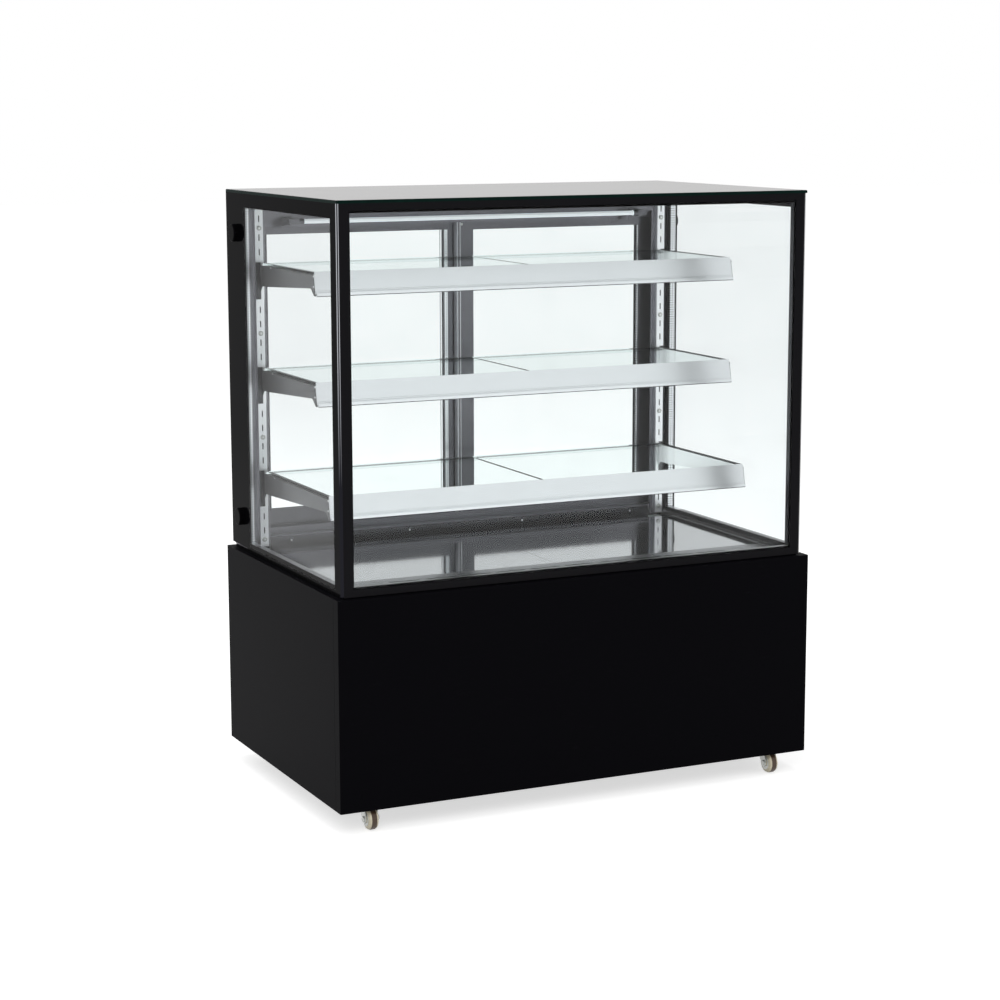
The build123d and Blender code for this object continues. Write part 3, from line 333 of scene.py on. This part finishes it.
# A row is the colour, how far it varies, the least and most roughness, the grain and the way it runs.
METALS = {
    "deck_polished": ((0.36, 0.36, 0.375), 0.05, (0.05, 0.1), DRAWN_GRAIN, ALONG_X),
    "stainless": ((0.13, 0.13, 0.14), 0.08, (0.22, 0.34), DRAWN_GRAIN, ALONG_X),
    "door_metal": ((0.155, 0.153, 0.168), 0.08, (0.26, 0.36), DRAWN_GRAIN, ALONG_Z),
    "frame_metal": ((0.185, 0.183, 0.203), 0.08, (0.26, 0.36), DRAWN_GRAIN, ALONG_Z),
    "slotted_steel": ((0.93, 0.94, 0.96), 0.03, (0.3, 0.38), DRAWN_GRAIN, ALONG_Z),
    "rail_metal": ((0.83, 0.845, 0.865), 0.04, (0.26, 0.34), DRAWN_GRAIN, ALONG_X),
    "zinc_steel": ((0.56, 0.57, 0.55), 0.14, (0.25, 0.4), 180, EVENLY),
    "fin_metal": ((0.6, 0.61, 0.62), 0.1, (0.3, 0.45), 60, ALONG_Z),
    "pipe_copper": ((0.72, 0.36, 0.2), 0.16, (0.22, 0.4), 90, EVENLY),
    # Painted shade: a darker copy of the steel, for the wall that faces the dark base.
    "wall_steel": ((0.078, 0.078, 0.088), 0.1, (0.2, 0.3), DRAWN_GRAIN, ALONG_X),
}

for name, (colour, vary, rough, grain, along) in METALS.items():
    finishes[name] = finish(name, colour, vary, rough, grain, metal=1, stretch=along)
wall_steel = finishes["wall_steel"]
print("bare metals:", len(METALS))

# %% [markdown]
# ## Glass
# A pane is a slab with two real faces, so light bends into it and out of it again. A plain glass shader
# would also stop the lamps, because a shadow ray can't bend. So shadow rays see the pane as nearly clear,
# and the inside of the case stays lit. Sheet glass hardly moves what is seen through it, so its bend is
# small. Display glass is coated, so its mirror part is small: it grows with the fifth power of how far
# the pane is turned away, as it does on real glass, but to a lower height. A little absorption gives the
# cut edges of the shelves their green.

# %% Glass helper
SHADOW_TINT = (0.93, 0.96, 0.95, 1)
PANE_TINT = (0.982, 0.989, 0.989)
SIDE_TINT = (0.966, 0.97, 0.972)
STRIP_TINT = (0.95, 0.97, 0.97)
EDGE_GREEN = (0.45, 0.75, 0.68, 1)
EDGE_DENSITY = 7
SHEET_BEND = 1.02
SHELF_BEND = 1.12
MIRROR_LEAST = 0.01
MIRROR_GROWTH = 0.2
MIRROR_POWER = 5
CLOUD_SCALE = 9
CLOUD_GAIN = 1.006


def clear_for_shadows(tree, surface):
    """The surface, except that light from the lamps passes through it."""
    through = tree.nodes.new("ShaderNodeBsdfTransparent")
    set_values(through, {"Color": SHADOW_TINT})
    path = tree.nodes.new("ShaderNodeLightPath")
    return blend(tree, path.outputs["Is Shadow Ray"], surface, through.outputs[0])


def glass(name, tint, bend):
    """Clear glass of a tint, which bends light by the given index."""
    made = bpy.data.materials.new(name)
    made.use_nodes = True
    tree = made.node_tree
    tree.nodes.clear()
    lighter = [min(1, part * CLOUD_GAIN) for part in tint]
    bent = tree.nodes.new("ShaderNodeBsdfRefraction")
    set_values(bent, {"Roughness": 0, "IOR": bend})
    tree.links.new(shades(tree, speckle(tree, CLOUD_SCALE), tint, lighter), bent.inputs["Color"])
    mirrored = tree.nodes.new("ShaderNodeBsdfGlossy")
    set_values(mirrored, {"Roughness": 0})
    turned = tree.nodes.new("ShaderNodeLayerWeight")
    set_values(turned, {"Blend": 0.5})
    steep = step(tree, "POWER", turned.outputs["Facing"], MIRROR_POWER)
    share = step(tree, "MULTIPLY_ADD", steep, MIRROR_GROWTH, MIRROR_LEAST)
    clear = blend(tree, share, bent.outputs[0], mirrored.outputs[0])
    output = tree.nodes.new("ShaderNodeOutputMaterial")
    tree.links.new(clear_for_shadows(tree, clear), output.inputs["Surface"])
    return made


finishes["inner_pane"] = glass("inner_pane", PANE_TINT, SHEET_BEND)
finishes["clear_strip"] = glass("clear_strip", STRIP_TINT, SHELF_BEND)
finishes["shelf_pane"] = glass("shelf_pane", PANE_TINT, SHELF_BEND)
tree = finishes["shelf_pane"].node_tree
absorb = tree.nodes.new("ShaderNodeVolumeAbsorption")
set_values(absorb, {"Color": EDGE_GREEN, "Density": EDGE_DENSITY})
tree.links.new(absorb.outputs[0], tree.nodes["Material Output"].inputs["Volume"])
print("bend of a pane:", SHEET_BEND, "and of a shelf:", SHELF_BEND)

# %% [markdown]
# The outer panes carry a black print round their edges, which hides the spacers and the glue. The print
# has a crisp edge, so it is drawn by numbers: a pane is clear where its place is inside a window, and
# black outside it. The window of the right pane reaches a little further back, where the bright bar
# beside it shows.

# %% Printed panes
FRONT_PRINT = (0.0075, 0.0072, 0.0088)
SIDE_PRINT = (0.0026, 0.0025, 0.0032)
FRONT_GLOSS = 0.04
SIDE_GLOSS = 0.006
PRINT_ROUGH = 0.04
PRINT_GRAIN = 500
PRINT_DARKER = 0.8
FRONT_WINDOW = {"X": (-0.556, 0.556), "Z": (0.5495, 1.3675)}
LEFT_WINDOW = {"Y": (-0.313, 0.236), "Z": (0.545, 1.352)}
RIGHT_WINDOW = {"Y": (-0.313, 0.2535), "Z": (0.545, 1.352)}


def axes_of(tree):
    """The Object coordinates as three numbers."""
    axes = tree.nodes.new("ShaderNodeSeparateXYZ")
    tree.links.new(object_place(tree), axes.inputs[0])
    return axes.outputs


def within(tree, value, low, high):
    """1 where the value lies between two limits, and 0 elsewhere."""
    above = step(tree, "GREATER_THAN", value, low)
    return step(tree, "MULTIPLY", above, step(tree, "LESS_THAN", value, high))


def inside(tree, window):
    """1 where the Object coordinates are inside the window, and 0 outside it."""
    axes = axes_of(tree)
    total = 1
    for axis, limits in window.items():
        total = step(tree, "MULTIPLY", within(tree, axes[axis], *limits), total)
    return total


def printed_pane(name, window, colour, gloss, tint):
    """A pane that is clear inside its window and black outside it."""
    made = glass(name, tint, SHEET_BEND)
    tree = made.node_tree
    surface = tree.nodes["Material Output"].inputs["Surface"]
    clear = surface.links[0].from_socket
    darker = [part * PRINT_DARKER for part in colour]
    polish = {"Roughness": PRINT_ROUGH, "Specular IOR Level": gloss}
    black = layer(tree, PRINT_GRAIN, darker, colour, polish)
    tree.links.new(blend(tree, inside(tree, window), black, clear), surface)
    return made


front_pane = printed_pane("front_pane", FRONT_WINDOW, FRONT_PRINT, FRONT_GLOSS, PANE_TINT)
left_pane = printed_pane("left_pane", LEFT_WINDOW, SIDE_PRINT, SIDE_GLOSS, SIDE_TINT)
right_pane = printed_pane("right_pane", RIGHT_WINDOW, SIDE_PRINT, SIDE_GLOSS, SIDE_TINT)
print("printed panes:", front_pane.name, left_pane.name, right_pane.name)

# %% [markdown]
# The top pane is printed black all over its underside, and its rim shows the deep green of the glass. At
# a low angle its face mirrors the white studio, so it looks pale grey from the front. The rim is
# everything below the last fraction of a millimetre of its height.

# %% Top pane
FACE_ABOVE = {"Z": (1.3897, 2)}
FACE_BLACK = ((0.014, 0.010, 0.009), (0.018, 0.013, 0.012))
FACE_GRAIN = 8
RIM_GREEN = ((0.003, 0.011, 0.009), (0.004, 0.016, 0.013))
RIM_GRAIN = 60

top_pane, tree, face = new_material("black_pane")
tree.links.new(shades(tree, speckle(tree, FACE_GRAIN), *FACE_BLACK), face.inputs["Base Color"])
set_values(face, {"Roughness": 0.17, "Specular IOR Level": 0.22})
rim = layer(tree, RIM_GRAIN, *RIM_GREEN, {"Roughness": 0.25, "Specular IOR Level": 0.01})
both = blend(tree, inside(tree, FACE_ABOVE), rim, face.outputs[0])
tree.links.new(both, tree.nodes["Material Output"].inputs["Surface"])
finishes["black_pane"] = top_pane
print("top pane:", top_pane.name)

# %% [markdown]
# The bars between the panes are aluminium. The upright ones at the back are bright, with a row of small
# holes along the side that faces the room. The others are coated dark, so that they vanish beside the
# black print. The holes are a grid of round dots, drawn with the distance to the middle of each cell of
# the grid.

# %% Spacer bars
DOT_PITCH = 0.006
DOT_REACH = 0.0026
DOT_DARKNESS = 0.75
BRIGHT_BARS = {"Y": (0.2, 0.34), "Z": (0.552, 1.364)}
BAR_SHADES = ((0.05, 0.05, 0.056), (0.86, 0.88, 0.9))
BAR_GRAIN = 60
BAR_VARY = 0.03


def vector_step(tree, operation, first, second):
    """One sum on places, where the second may be a plain place."""
    node = tree.nodes.new("ShaderNodeVectorMath")
    node.operation = operation
    tree.links.new(first, node.inputs[0])
    if isinstance(second, tuple):
        node.inputs[1].default_value = second
    else:
        tree.links.new(second, node.inputs[1])
    return node.outputs


spacer, tree, shader = new_material("spacer_metal")
place = object_place(tree)
start = vector_step(tree, "SNAP", place, (DOT_PITCH,) * 3)[0]
centre = vector_step(tree, "ADD", start, (DOT_PITCH / 2,) * 3)[0]
reach = vector_step(tree, "DISTANCE", place, centre)["Value"]
dot = step(tree, "MULTIPLY", step(tree, "LESS_THAN", reach, DOT_REACH), DOT_DARKNESS)
bright = step(tree, "SUBTRACT", inside(tree, BRIGHT_BARS), dot)
value = step(tree, "MAXIMUM", bright, step(tree, "MULTIPLY", speckle(tree, BAR_GRAIN), BAR_VARY))
tree.links.new(shades(tree, value, *BAR_SHADES), shader.inputs["Base Color"])
set_values(shader, {"Metallic": 1, "Roughness": 0.28})
finishes["spacer_metal"] = spacer
print("dots every", DOT_PITCH * 1000, "mm")

# %% [markdown]
# A bracket is bare bright steel. Where it faces out, towards the side pane, it is painted dark as shade.
# The wall of a bracket is thin, so one limit in x tells its two faces apart.

# %% Bracket steel
INNER_FACES = {"X": (-0.538, 0.538)}
BRACKET_SHADE_AND_STEEL = ((0.078, 0.079, 0.084), (0.9, 0.91, 0.92))
BRACKET_VARY = 0.05

bracket_steel, tree, shader = new_material("bracket_steel")
grain = step(tree, "MULTIPLY", speckle(tree, DRAWN_GRAIN, ALONG_Y), BRACKET_VARY)
# Painted shade on the outer faces, bare steel on the inner ones.
value = step(tree, "MAXIMUM", inside(tree, INNER_FACES), grain)
tree.links.new(shades(tree, value, *BRACKET_SHADE_AND_STEEL), shader.inputs["Base Color"])
set_values(shader, {"Metallic": 1, "Roughness": 0.3})
print("made:", bracket_steel.name)

# %% [markdown]
# The corner strip is drawn aluminium, dark on its face, with two fine ribs along it that carry a painted
# highlight, so they read bright with a darker groove between them. The ribs are two bands in x, alike on
# the left and the right because the sign of x is dropped. The whole strip is painted brighter near the
# top and duller near the foot, a painted fall-off of its sheen.

# %% Corner strip
# Painted highlight bands in x, and the heights over which the painted sheen runs from dull to bright.
HIGHLIGHT_RIBS = ((0.5810, 0.5822), (0.5842, 0.5857))
SHEEN_FADE_LOW, SHEEN_FADE_HIGH = 0.55, 1.3
STRIP_SHADES = ((0.014, 0.014, 0.018), (0.42, 0.43, 0.46))
STRIP_VARY = 0.3

strip, tree, shader = new_material("bright_strip")
axes = axes_of(tree)
outward = step(tree, "ABSOLUTE", axes["X"])
value = step(tree, "MULTIPLY", speckle(tree, DRAWN_GRAIN, ALONG_Z), STRIP_VARY)
# Painted highlight: the two rib bands are drawn bright.
for highlight_rib in HIGHLIGHT_RIBS:
    value = step(tree, "MAXIMUM", within(tree, outward, *highlight_rib), value)
# Painted sheen: brighter towards the top, duller towards the foot.
height = tree.nodes.new("ShaderNodeMapRange")
set_values(height, {"From Min": SHEEN_FADE_LOW, "From Max": SHEEN_FADE_HIGH})
tree.links.new(axes["Z"], height.inputs["Value"])
value = step(tree, "MULTIPLY", value, height.outputs["Result"])
tree.links.new(shades(tree, value, *STRIP_SHADES), shader.inputs["Base Color"])
set_values(shader, {"Metallic": 1, "Roughness": 0.22})
finishes["bright_strip"] = strip
print("ribs:", len(HIGHLIGHT_RIBS))

# %% [markdown]
# The lamps are on. A tube gives a plain white light, no brighter than the backdrop, so that it shows as a
# clean line and doesn't burn out. The roof tube's end caps and clips are the grey metal of the frame.

# %% Lamp tubes
TUBE_GLOW = 0.45
TUBE_LIGHT = (0.9, 0.96, 1.0, 1)
TUBE_SPAN = {"X": (-0.4402, 0.4402)}
TUBE_GRAIN = 50
END_SHADES = ((0.13, 0.13, 0.145), (0.16, 0.16, 0.175))
END_GRAIN = 60

finishes["lamp_white"] = finish("lamp_white", (0.86, 0.88, 0.9), 0.03, (0.3, 0.4), TUBE_GRAIN)
shader = finishes["lamp_white"].node_tree.nodes["Principled BSDF"]
set_values(shader, {"Emission Color": TUBE_LIGHT, "Emission Strength": TUBE_GLOW})
roof_tube = finishes["lamp_white"].copy()
roof_tube.name = "roof_tube"
tree = roof_tube.node_tree
ends = layer(tree, END_GRAIN, *END_SHADES, {"Metallic": 1, "Roughness": 0.34})
both = blend(tree, inside(tree, TUBE_SPAN), ends, tree.nodes["Principled BSDF"].outputs[0])
tree.links.new(both, tree.nodes["Material Output"].inputs["Surface"])
print("lamp glow:", TUBE_GLOW)

# %% [markdown]
# A castor's wheel is cream nylon with a dark brown band round the middle of its tread. The band follows
# the distance from the axle. All four wheels trail to the front of their swivels by the same length, so
# once that length is added to y, the positive sizes of x and y are alike for all of them, and one rule
# fits.

# %% Castor wheels
CASTOR_X = 0.518
CASTOR_Y = 0.319
CASTOR_TRAIL = 0.018
WHEEL_RADIUS = 0.025
BAND_HALF = 0.0062
BAND_INNER = 0.0215
BAND_BROWN = (0.06, 0.035, 0.02, 1)
CREAM = ((0.62, 0.56, 0.42), (0.74, 0.68, 0.52))
CREAM_GRAIN = 160

wheel, tree, shader = new_material("wheel_cream")
axes = axes_of(tree)
across = step(tree, "SUBTRACT", step(tree, "ABSOLUTE", axes["X"]), CASTOR_X)
along = step(tree, "ABSOLUTE", step(tree, "ADD", axes["Y"], CASTOR_TRAIL))
along = step(tree, "SUBTRACT", along, CASTOR_Y)
up = step(tree, "SUBTRACT", axes["Z"], WHEEL_RADIUS)
squares = step(tree, "ADD", step(tree, "MULTIPLY", along, along), step(tree, "MULTIPLY", up, up))
middle = step(tree, "LESS_THAN", step(tree, "ABSOLUTE", across), BAND_HALF)
band = step(tree, "MULTIPLY", middle, step(tree, "GREATER_THAN", step(tree, "SQRT", squares), BAND_INNER))
mix = tree.nodes.new("ShaderNodeMix")
mix.data_type = "RGBA"
tree.links.new(band, mix.inputs["Factor"])
tree.links.new(shades(tree, speckle(tree, CREAM_GRAIN), *CREAM), mix.inputs["A"])
mix.inputs["B"].default_value = BAND_BROWN
tree.links.new(mix.outputs["Result"], shader.inputs["Base Color"])
set_values(shader, {"Roughness": 0.42})
finishes["wheel_cream"] = wheel
print("wheel:", WHEEL_RADIUS * 2, "m across")

# %% [markdown]
# Now every piece of the frame gets the finish of its slot. A few finishes go to single pieces: the
# printed panes, the roof tube, the brackets and the wall under the doors.

# %% Put the finishes on
# A shelf has the height of the top of its glass and the y of the top edge of its rail.
SHELVES = {"low": (0.724, -0.162), "middle": (0.972, -0.091), "top": (1.220, -0.091)}

single = {
    "front_glass": front_pane,
    "left_glass": left_pane,
    "right_glass": right_pane,
    "rear_wall": wall_steel,
    "roof_lamp": roof_tube,
}
for shelf in SHELVES:
    single[f"{shelf}_brackets"] = bracket_steel
for name, node in nodes.items():
    node.data.materials.clear()
    node.data.materials.append(single.get(name) or finishes[slot_of[name]])
print("dressed:", len(nodes), "pieces")

# %% [markdown]
# ## Small pieces
# The frame has the main forms. The small trims that catch the eye are modelled here the way you would by
# hand: start from a plain solid at its size and place, go into edit mode, and bevel, inset and extrude
# it. Every piece ends with its place in its mesh and its object at the origin.

# %% Modelling helpers
EASE = 0.0004
SMALL_EASE = 0.0003
FINE_EASE = 0.0002
NEAR_AXIS = 0.9
ON_AXIS = 0.99
HEAD_ROUND = 0.35
HEAD_FLAT = 0.85
SOCKET_DEPTH = 0.5
TO_FRONT = (0, -1, 0)
TO_BACK = (0, 1, 0)
DOWN = (0, 0, -1)


def bar(x, y, z, ease=EASE):
    """A straight bar between the low and high values of x, y and z, with its edges eased."""
    low, high = Vector((x[0], y[0], z[0])), Vector((x[1], y[1], z[1]))
    bpy.ops.object.select_all(action="DESELECT")
    bpy.ops.mesh.primitive_cube_add(size=1, location=(low + high) / 2)
    made = bpy.context.object
    made.scale = high - low
    bpy.ops.object.transform_apply(location=True, rotation=True, scale=True)
    bpy.ops.object.mode_set(mode="EDIT")
    bpy.ops.mesh.select_all(action="SELECT")
    bpy.ops.mesh.bevel(offset=ease, segments=1, affect="EDGES")
    bpy.ops.object.mode_set(mode="OBJECT")
    return made


def pick(made, test):
    """Go into edit mode with only the faces selected whose normal passes the test."""
    bpy.context.view_layer.objects.active = made
    bpy.ops.object.mode_set(mode="EDIT")
    bpy.ops.mesh.select_mode(type="FACE")
    bpy.ops.mesh.select_all(action="DESELECT")
    bpy.ops.object.mode_set(mode="OBJECT")
    for face in made.data.polygons:
        face.select = test(face.normal)
    bpy.ops.object.mode_set(mode="EDIT")


def head(radius, height, corners, socket):
    """A screw head that stands on z = 0, with an eased rim and a socket of that share of its radius."""
    bpy.ops.object.select_all(action="DESELECT")
    middle = (0, 0, height / 2)
    bpy.ops.mesh.primitive_cylinder_add(vertices=corners, radius=radius, depth=height, location=middle)
    made = bpy.context.object
    bpy.ops.object.transform_apply(location=True, rotation=True, scale=True)
    pick(made, lambda normal: normal.z > NEAR_AXIS)
    bpy.ops.mesh.bevel(offset=height * HEAD_ROUND, segments=2, affect="EDGES")
    bpy.ops.object.mode_set(mode="OBJECT")
    pick(made, lambda normal: normal.z > ON_AXIS)
    bpy.ops.mesh.inset(thickness=radius * (HEAD_FLAT - socket))
    bpy.ops.mesh.extrude_region_move(TRANSFORM_OT_translate={"value": (0, 0, -height * SOCKET_DEPTH)})
    bpy.ops.object.mode_set(mode="OBJECT")
    return made


def join(parts):
    """The parts as one object."""
    bpy.ops.object.select_all(action="DESELECT")
    for part in parts:
        part.select_set(True)
    bpy.context.view_layer.objects.active = parts[0]
    bpy.ops.object.join()
    return bpy.context.object


def repeat(model, places):
    """Copies of the model joined as one, each at a place, which is a point and the way that Z faces."""
    parts = []
    for point, direction in places:
        part = bpy.data.objects.new("part", model.data.copy())
        turned = Vector(direction).to_track_quat("Z", "Y").to_matrix().to_4x4()
        part.data.transform(Matrix.Translation(point) @ turned)
        scene.collection.objects.link(part)
        parts.append(part)
    bpy.data.objects.remove(model)
    return join(parts)


def settle(made, name, body, slot, paint=None):
    """Name the piece, put its finish on, and let it ride on its body."""
    made.name = name
    made.data.name = name
    made.data.materials.clear()
    made.data.materials.append(paint or finishes[slot])
    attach(made, body)
    print(name, "on", body, "faces:", len(made.data.polygons))


# %% [markdown]
# The uprights hang on round-headed screws, one at each end of a run of slots. Here and below, a head is
# written as its radius, its height, its number of corners and the share of its radius that its socket
# takes. A dark strip stands inside each channel as painted shadow, because a real slot looks into the
# shadow of the wall behind it.

# %% Upright screws and painted slot shadows
SCREW_HEIGHTS = (0.557, 0.805, 1.053, 1.301)
UPRIGHT_SCREW = (0.0058, 0.0028, 20, 0.3)
UPRIGHT_X = 0.540
UPRIGHT_FACE = 0.257
SLOT_SHADOW_HALF = 0.007
SLOT_SHADOW_Y = (0.2655, 0.2685)
SLOT_SHADOW_Z = (0.542, 1.343)

places = [((side * UPRIGHT_X, UPRIGHT_FACE, z), TO_FRONT) for side in (-1, 1) for z in SCREW_HEIGHTS]
settle(repeat(head(*UPRIGHT_SCREW), places), "upright_screw_heads", "cabinet", "zinc_steel")
# Painted shadow: dark strips inside the channels, behind the slots.
slot_shadows = []
for middle in (-UPRIGHT_X, UPRIGHT_X):
    slot_shadows.append(bar((middle - SLOT_SHADOW_HALF, middle + SLOT_SHADOW_HALF), SLOT_SHADOW_Y, SLOT_SHADOW_Z))
settle(join(slot_shadows), "upright_slot_shadows", "cabinet", "frame_black")

# %% [markdown]
# Every bracket plate is riveted at its front, where the rail hangs, and once near the back. The same
# small rivets hold the wall under the doors, and one screw closes the top of the right door.

# %% Rivets
RIVET = (0.0022, 0.001, 12, 0.25)
BRACKET_FACE = 0.539
# The back rivet has its y and its drop below the glass. The front ones stand a step before the rail.
BACK_RIVET = (0.183, -0.008)
FRONT_RIVET_STEP = -0.0012
FRONT_RIVET_DROPS = (-0.009, -0.032)
WALL_RIVETS = (-0.465, -0.155, 0.155, 0.465)
WALL_FACE = 0.275
WALL_RIVET_Z = 0.5462
DOOR_SCREW = (0.0032, 0.0012, 16, 0.35)
DOOR_SCREW_PLACE = (0.004, 0.304, 1.2945)

places = []
for height, front in SHELVES.values():
    spots = [BACK_RIVET] + [(front + FRONT_RIVET_STEP, drop) for drop in FRONT_RIVET_DROPS]
    for y, drop in spots:
        places += [((side * BRACKET_FACE, y, height + drop), (side, 0, 0)) for side in (-1, 1)]
places += [((x, WALL_FACE, WALL_RIVET_Z), TO_FRONT) for x in WALL_RIVETS]
settle(repeat(head(*RIVET), places), "rivet_heads", "cabinet", "slotted_steel")
screw = repeat(head(*DOOR_SCREW), [(DOOR_SCREW_PLACE, TO_FRONT)])
settle(screw, "right_door_screw", "right_door", "zinc_steel")

# %% [markdown]
# Each price rail carries two fine ribs above its lip, and its lower edge lies in shadow, which a dark bar
# along it paints as a painted shadow. A rib is a thin bar that runs the whole length of the rail. The
# face leans, so a rib higher up also stands a little further back.

# %% Rail ribs and painted shadow
RAIL_X = (-0.5366, 0.5366)
RAIL_HEIGHT = 0.054
RAIL_ABOVE = 0.001
RAIL_LEAN = 0.011
RIB_HEIGHTS = (0.0085, 0.0115)
RIB_Y = (-0.0006, 0.0008)
RIB_THICK = 0.0009
SHADE_Y = (-0.0054, -0.0032)
SHADE_Z = (-0.0007, 0.0009)


def shifted(span, start):
    """The low and high value of a span, moved on by the start."""
    return span[0] + start, span[1] + start


for shelf, (height, front) in SHELVES.items():
    low_z = height + RAIL_ABOVE - RAIL_HEIGHT
    low_y = front - RAIL_LEAN
    ribs = []
    for up in RIB_HEIGHTS:
        y = shifted(RIB_Y, low_y + up * RAIL_LEAN / RAIL_HEIGHT)
        ribs.append(bar(RAIL_X, y, shifted((0, RIB_THICK), low_z + up), FINE_EASE))
    settle(join(ribs), f"{shelf}_rail_ribs", "cabinet", "rail_metal")
    # Painted shadow: a dark bar along the lower edge of the rail.
    edge = bar(RAIL_X, shifted(SHADE_Y, low_y), shifted(SHADE_Z, low_z), SMALL_EASE)
    settle(edge, f"{shelf}_rail_painted_shadow", "cabinet", "slotted_steel", wall_steel)

# %% [markdown]
# The doors are double glazed like the rest. Where the glass meets the frame a perforated bead shows, a
# bright edge and a fine line run down the meeting stile of the right door, and a dark brush between the
# doors keeps the cold in. A spacer stands between the two panes of each door, and a gasket holds the
# glass at the outer stile.

# %% Door trims
DOOR_GLASS_Z = (0.614, 1.281)
DOOR_Z = (0.5635, 1.3155)
RIGHT_FACE = 0.304
LEFT_FACE = 0.330
BEAD_X = (-0.032, -0.0235)
LINE_X = (-0.0013, 0.0001)
PROUD_Y = (-0.0006, 0.0002)
EDGE_X = (-0.0082, -0.0069)
EDGE_Y = (-0.0004, 0.0215)
BRUSH_X = (-0.002, 0.004)
BRUSH_Y = (-0.0028, 0.0002)
BRUSH_EASE = 0.0005
SPACER_X = (0.035, 0.0365)
SPACER_Y = (0.0066, 0.0154)
GASKET_X = (0.495, 0.4993)
GASKET_Y = (-0.0005, 0.0018)

bead = bar(BEAD_X, shifted(PROUD_Y, LEFT_FACE), DOOR_GLASS_Z, FINE_EASE)
settle(bead, "left_door_bead", "left_door", "spacer_metal")
edge = bar(EDGE_X, shifted(EDGE_Y, RIGHT_FACE), DOOR_Z, SMALL_EASE)
settle(edge, "right_door_edge", "right_door", "slotted_steel")
line = bar(LINE_X, shifted(PROUD_Y, RIGHT_FACE), DOOR_Z, FINE_EASE)
settle(line, "right_door_line", "right_door", "door_metal", finishes["slotted_steel"])
brush = bar(BRUSH_X, shifted(BRUSH_Y, LEFT_FACE), DOOR_Z, BRUSH_EASE)
settle(brush, "door_brush", "left_door", "fan_black")
doors = (("left", -1, LEFT_FACE, wall_steel), ("right", 1, RIGHT_FACE, finishes["spacer_metal"]))
for side_name, side, face_y, paint in doors:
    body = f"{side_name}_door"
    spacer = bar(sorted(side * x for x in SPACER_X), shifted(SPACER_Y, face_y), DOOR_GLASS_Z, SMALL_EASE)
    settle(spacer, f"{body}_spacer", body, "slotted_steel")
    gasket = bar(sorted(side * x for x in GASKET_X), shifted(GASKET_Y, face_y), DOOR_GLASS_Z, SMALL_EASE)
    settle(gasket, f"{body}_gasket", body, "slotted_steel", paint)

# %% [markdown]
# A finger pull is a recess in the outer stile with a pressed ring round its mouth. The ring is a plate
# with its two large faces inset and removed, and the two holes bridged.

# %% Finger pulls
PULL_X = 0.523
PULL_Z = 0.960
PULL_HALF = (0.011, 0.050)
RING_WIDTH = 0.002
RING_Y = (-0.0004, 0.0008)
# A pull has its x and the y of its door's back.
PULLS = {"right": (PULL_X, 0.326), "left": (-PULL_X, 0.352)}

wide, tall = (half + RING_WIDTH for half in PULL_HALF)
for side_name, (x, back) in PULLS.items():
    ring = bar((x - wide, x + wide), shifted(RING_Y, back), (PULL_Z - tall, PULL_Z + tall), SMALL_EASE)
    pick(ring, lambda normal: abs(normal.y) > NEAR_AXIS)
    bpy.ops.mesh.inset(thickness=RING_WIDTH)
    bpy.ops.mesh.bridge_edge_loops()
    bpy.ops.object.mode_set(mode="OBJECT")
    settle(ring, f"{side_name}_pull_ring", f"{side_name}_door", "door_metal", finishes["slotted_steel"])

# %% [markdown]
# Screws hold the rear sheet, and hexagon bolts hold the castor plates to the frame.

# %% Fasteners
REAR_FACE = 0.358
SHEET_SCREW = (0.0045, 0.0022, 16, 0.35)
# A row of screws has its distance from the middle and its heights, alike on the left and the right.
SIDE_SCREWS = (0.575, (0.085, 0.29, 0.495))
EDGE_SCREWS = (0.2, (0.075, 0.512))
CASTOR_BOLT = (0.0045, 0.0035, 6, 0.2)
CASTOR_PLATE_UNDER = 0.0695
BOLT_SPREAD = 0.0215

places = []
for x, heights in (SIDE_SCREWS, EDGE_SCREWS):
    places += [((side * x, REAR_FACE, z), TO_BACK) for side in (-1, 1) for z in heights]
settle(repeat(head(*SHEET_SCREW), places), "rear_sheet_screws", "cabinet", "zinc_steel")
places = []
for x in (-CASTOR_X, CASTOR_X):
    for y in (-CASTOR_Y, CASTOR_Y):
        for across in (-BOLT_SPREAD, BOLT_SPREAD):
            for along in (-BOLT_SPREAD, BOLT_SPREAD):
                places.append(((x + across, y + along, CASTOR_PLATE_UNDER), DOWN))
settle(repeat(head(*CASTOR_BOLT), places), "castor_bolts", "cabinet", "zinc_steel")

# %% [markdown]
# Each wheel has a pressed shield over its bearing on both sides. A shield is a thin disc with its face
# dished in.

# %% Wheel shields
SHIELD = (0.0165, 0.0008, 28, 0.58)
SHIELD_FACE = 0.0119

for front_name, y in (("front", -CASTOR_Y), ("rear", CASTOR_Y)):
    for side_name, x in (("left", -CASTOR_X), ("right", CASTOR_X)):
        places = []
        for side in (-1, 1):
            places.append(((x + side * SHIELD_FACE, y - CASTOR_TRAIL, WHEEL_RADIUS), (side, 0, 0)))
        corner = f"{front_name}_{side_name}"
        settle(repeat(head(*SHIELD), places), f"{corner}_shields", f"{corner}_roller", "zinc_steel")

# %% [markdown]
# The controller's display sits behind a smoked window, dark while the case is at its set temperature.

# %% Display window
WINDOW_X = (-0.4303, -0.3977)
WINDOW_Y = (0.3608, 0.3617)
WINDOW_Z = (0.4692, 0.4868)
WINDOW_BORDER = 0.0012
WINDOW_DISH = 0.0003
WINDOW_GRAIN = 300

window_pane = bar(WINDOW_X, WINDOW_Y, WINDOW_Z, SMALL_EASE)
pick(window_pane, lambda normal: normal.y > NEAR_AXIS)
bpy.ops.mesh.inset(thickness=WINDOW_BORDER)
bpy.ops.mesh.extrude_region_move(TRANSFORM_OT_translate={"value": (0, -WINDOW_DISH, 0)})
bpy.ops.object.mode_set(mode="OBJECT")
smoked = finish("smoked_window", (0.02, 0.006, 0.006), 0.2, (0.05, 0.09), WINDOW_GRAIN, gloss=0.4)
settle(window_pane, "display_window", "cabinet", "controller_black", smoked)
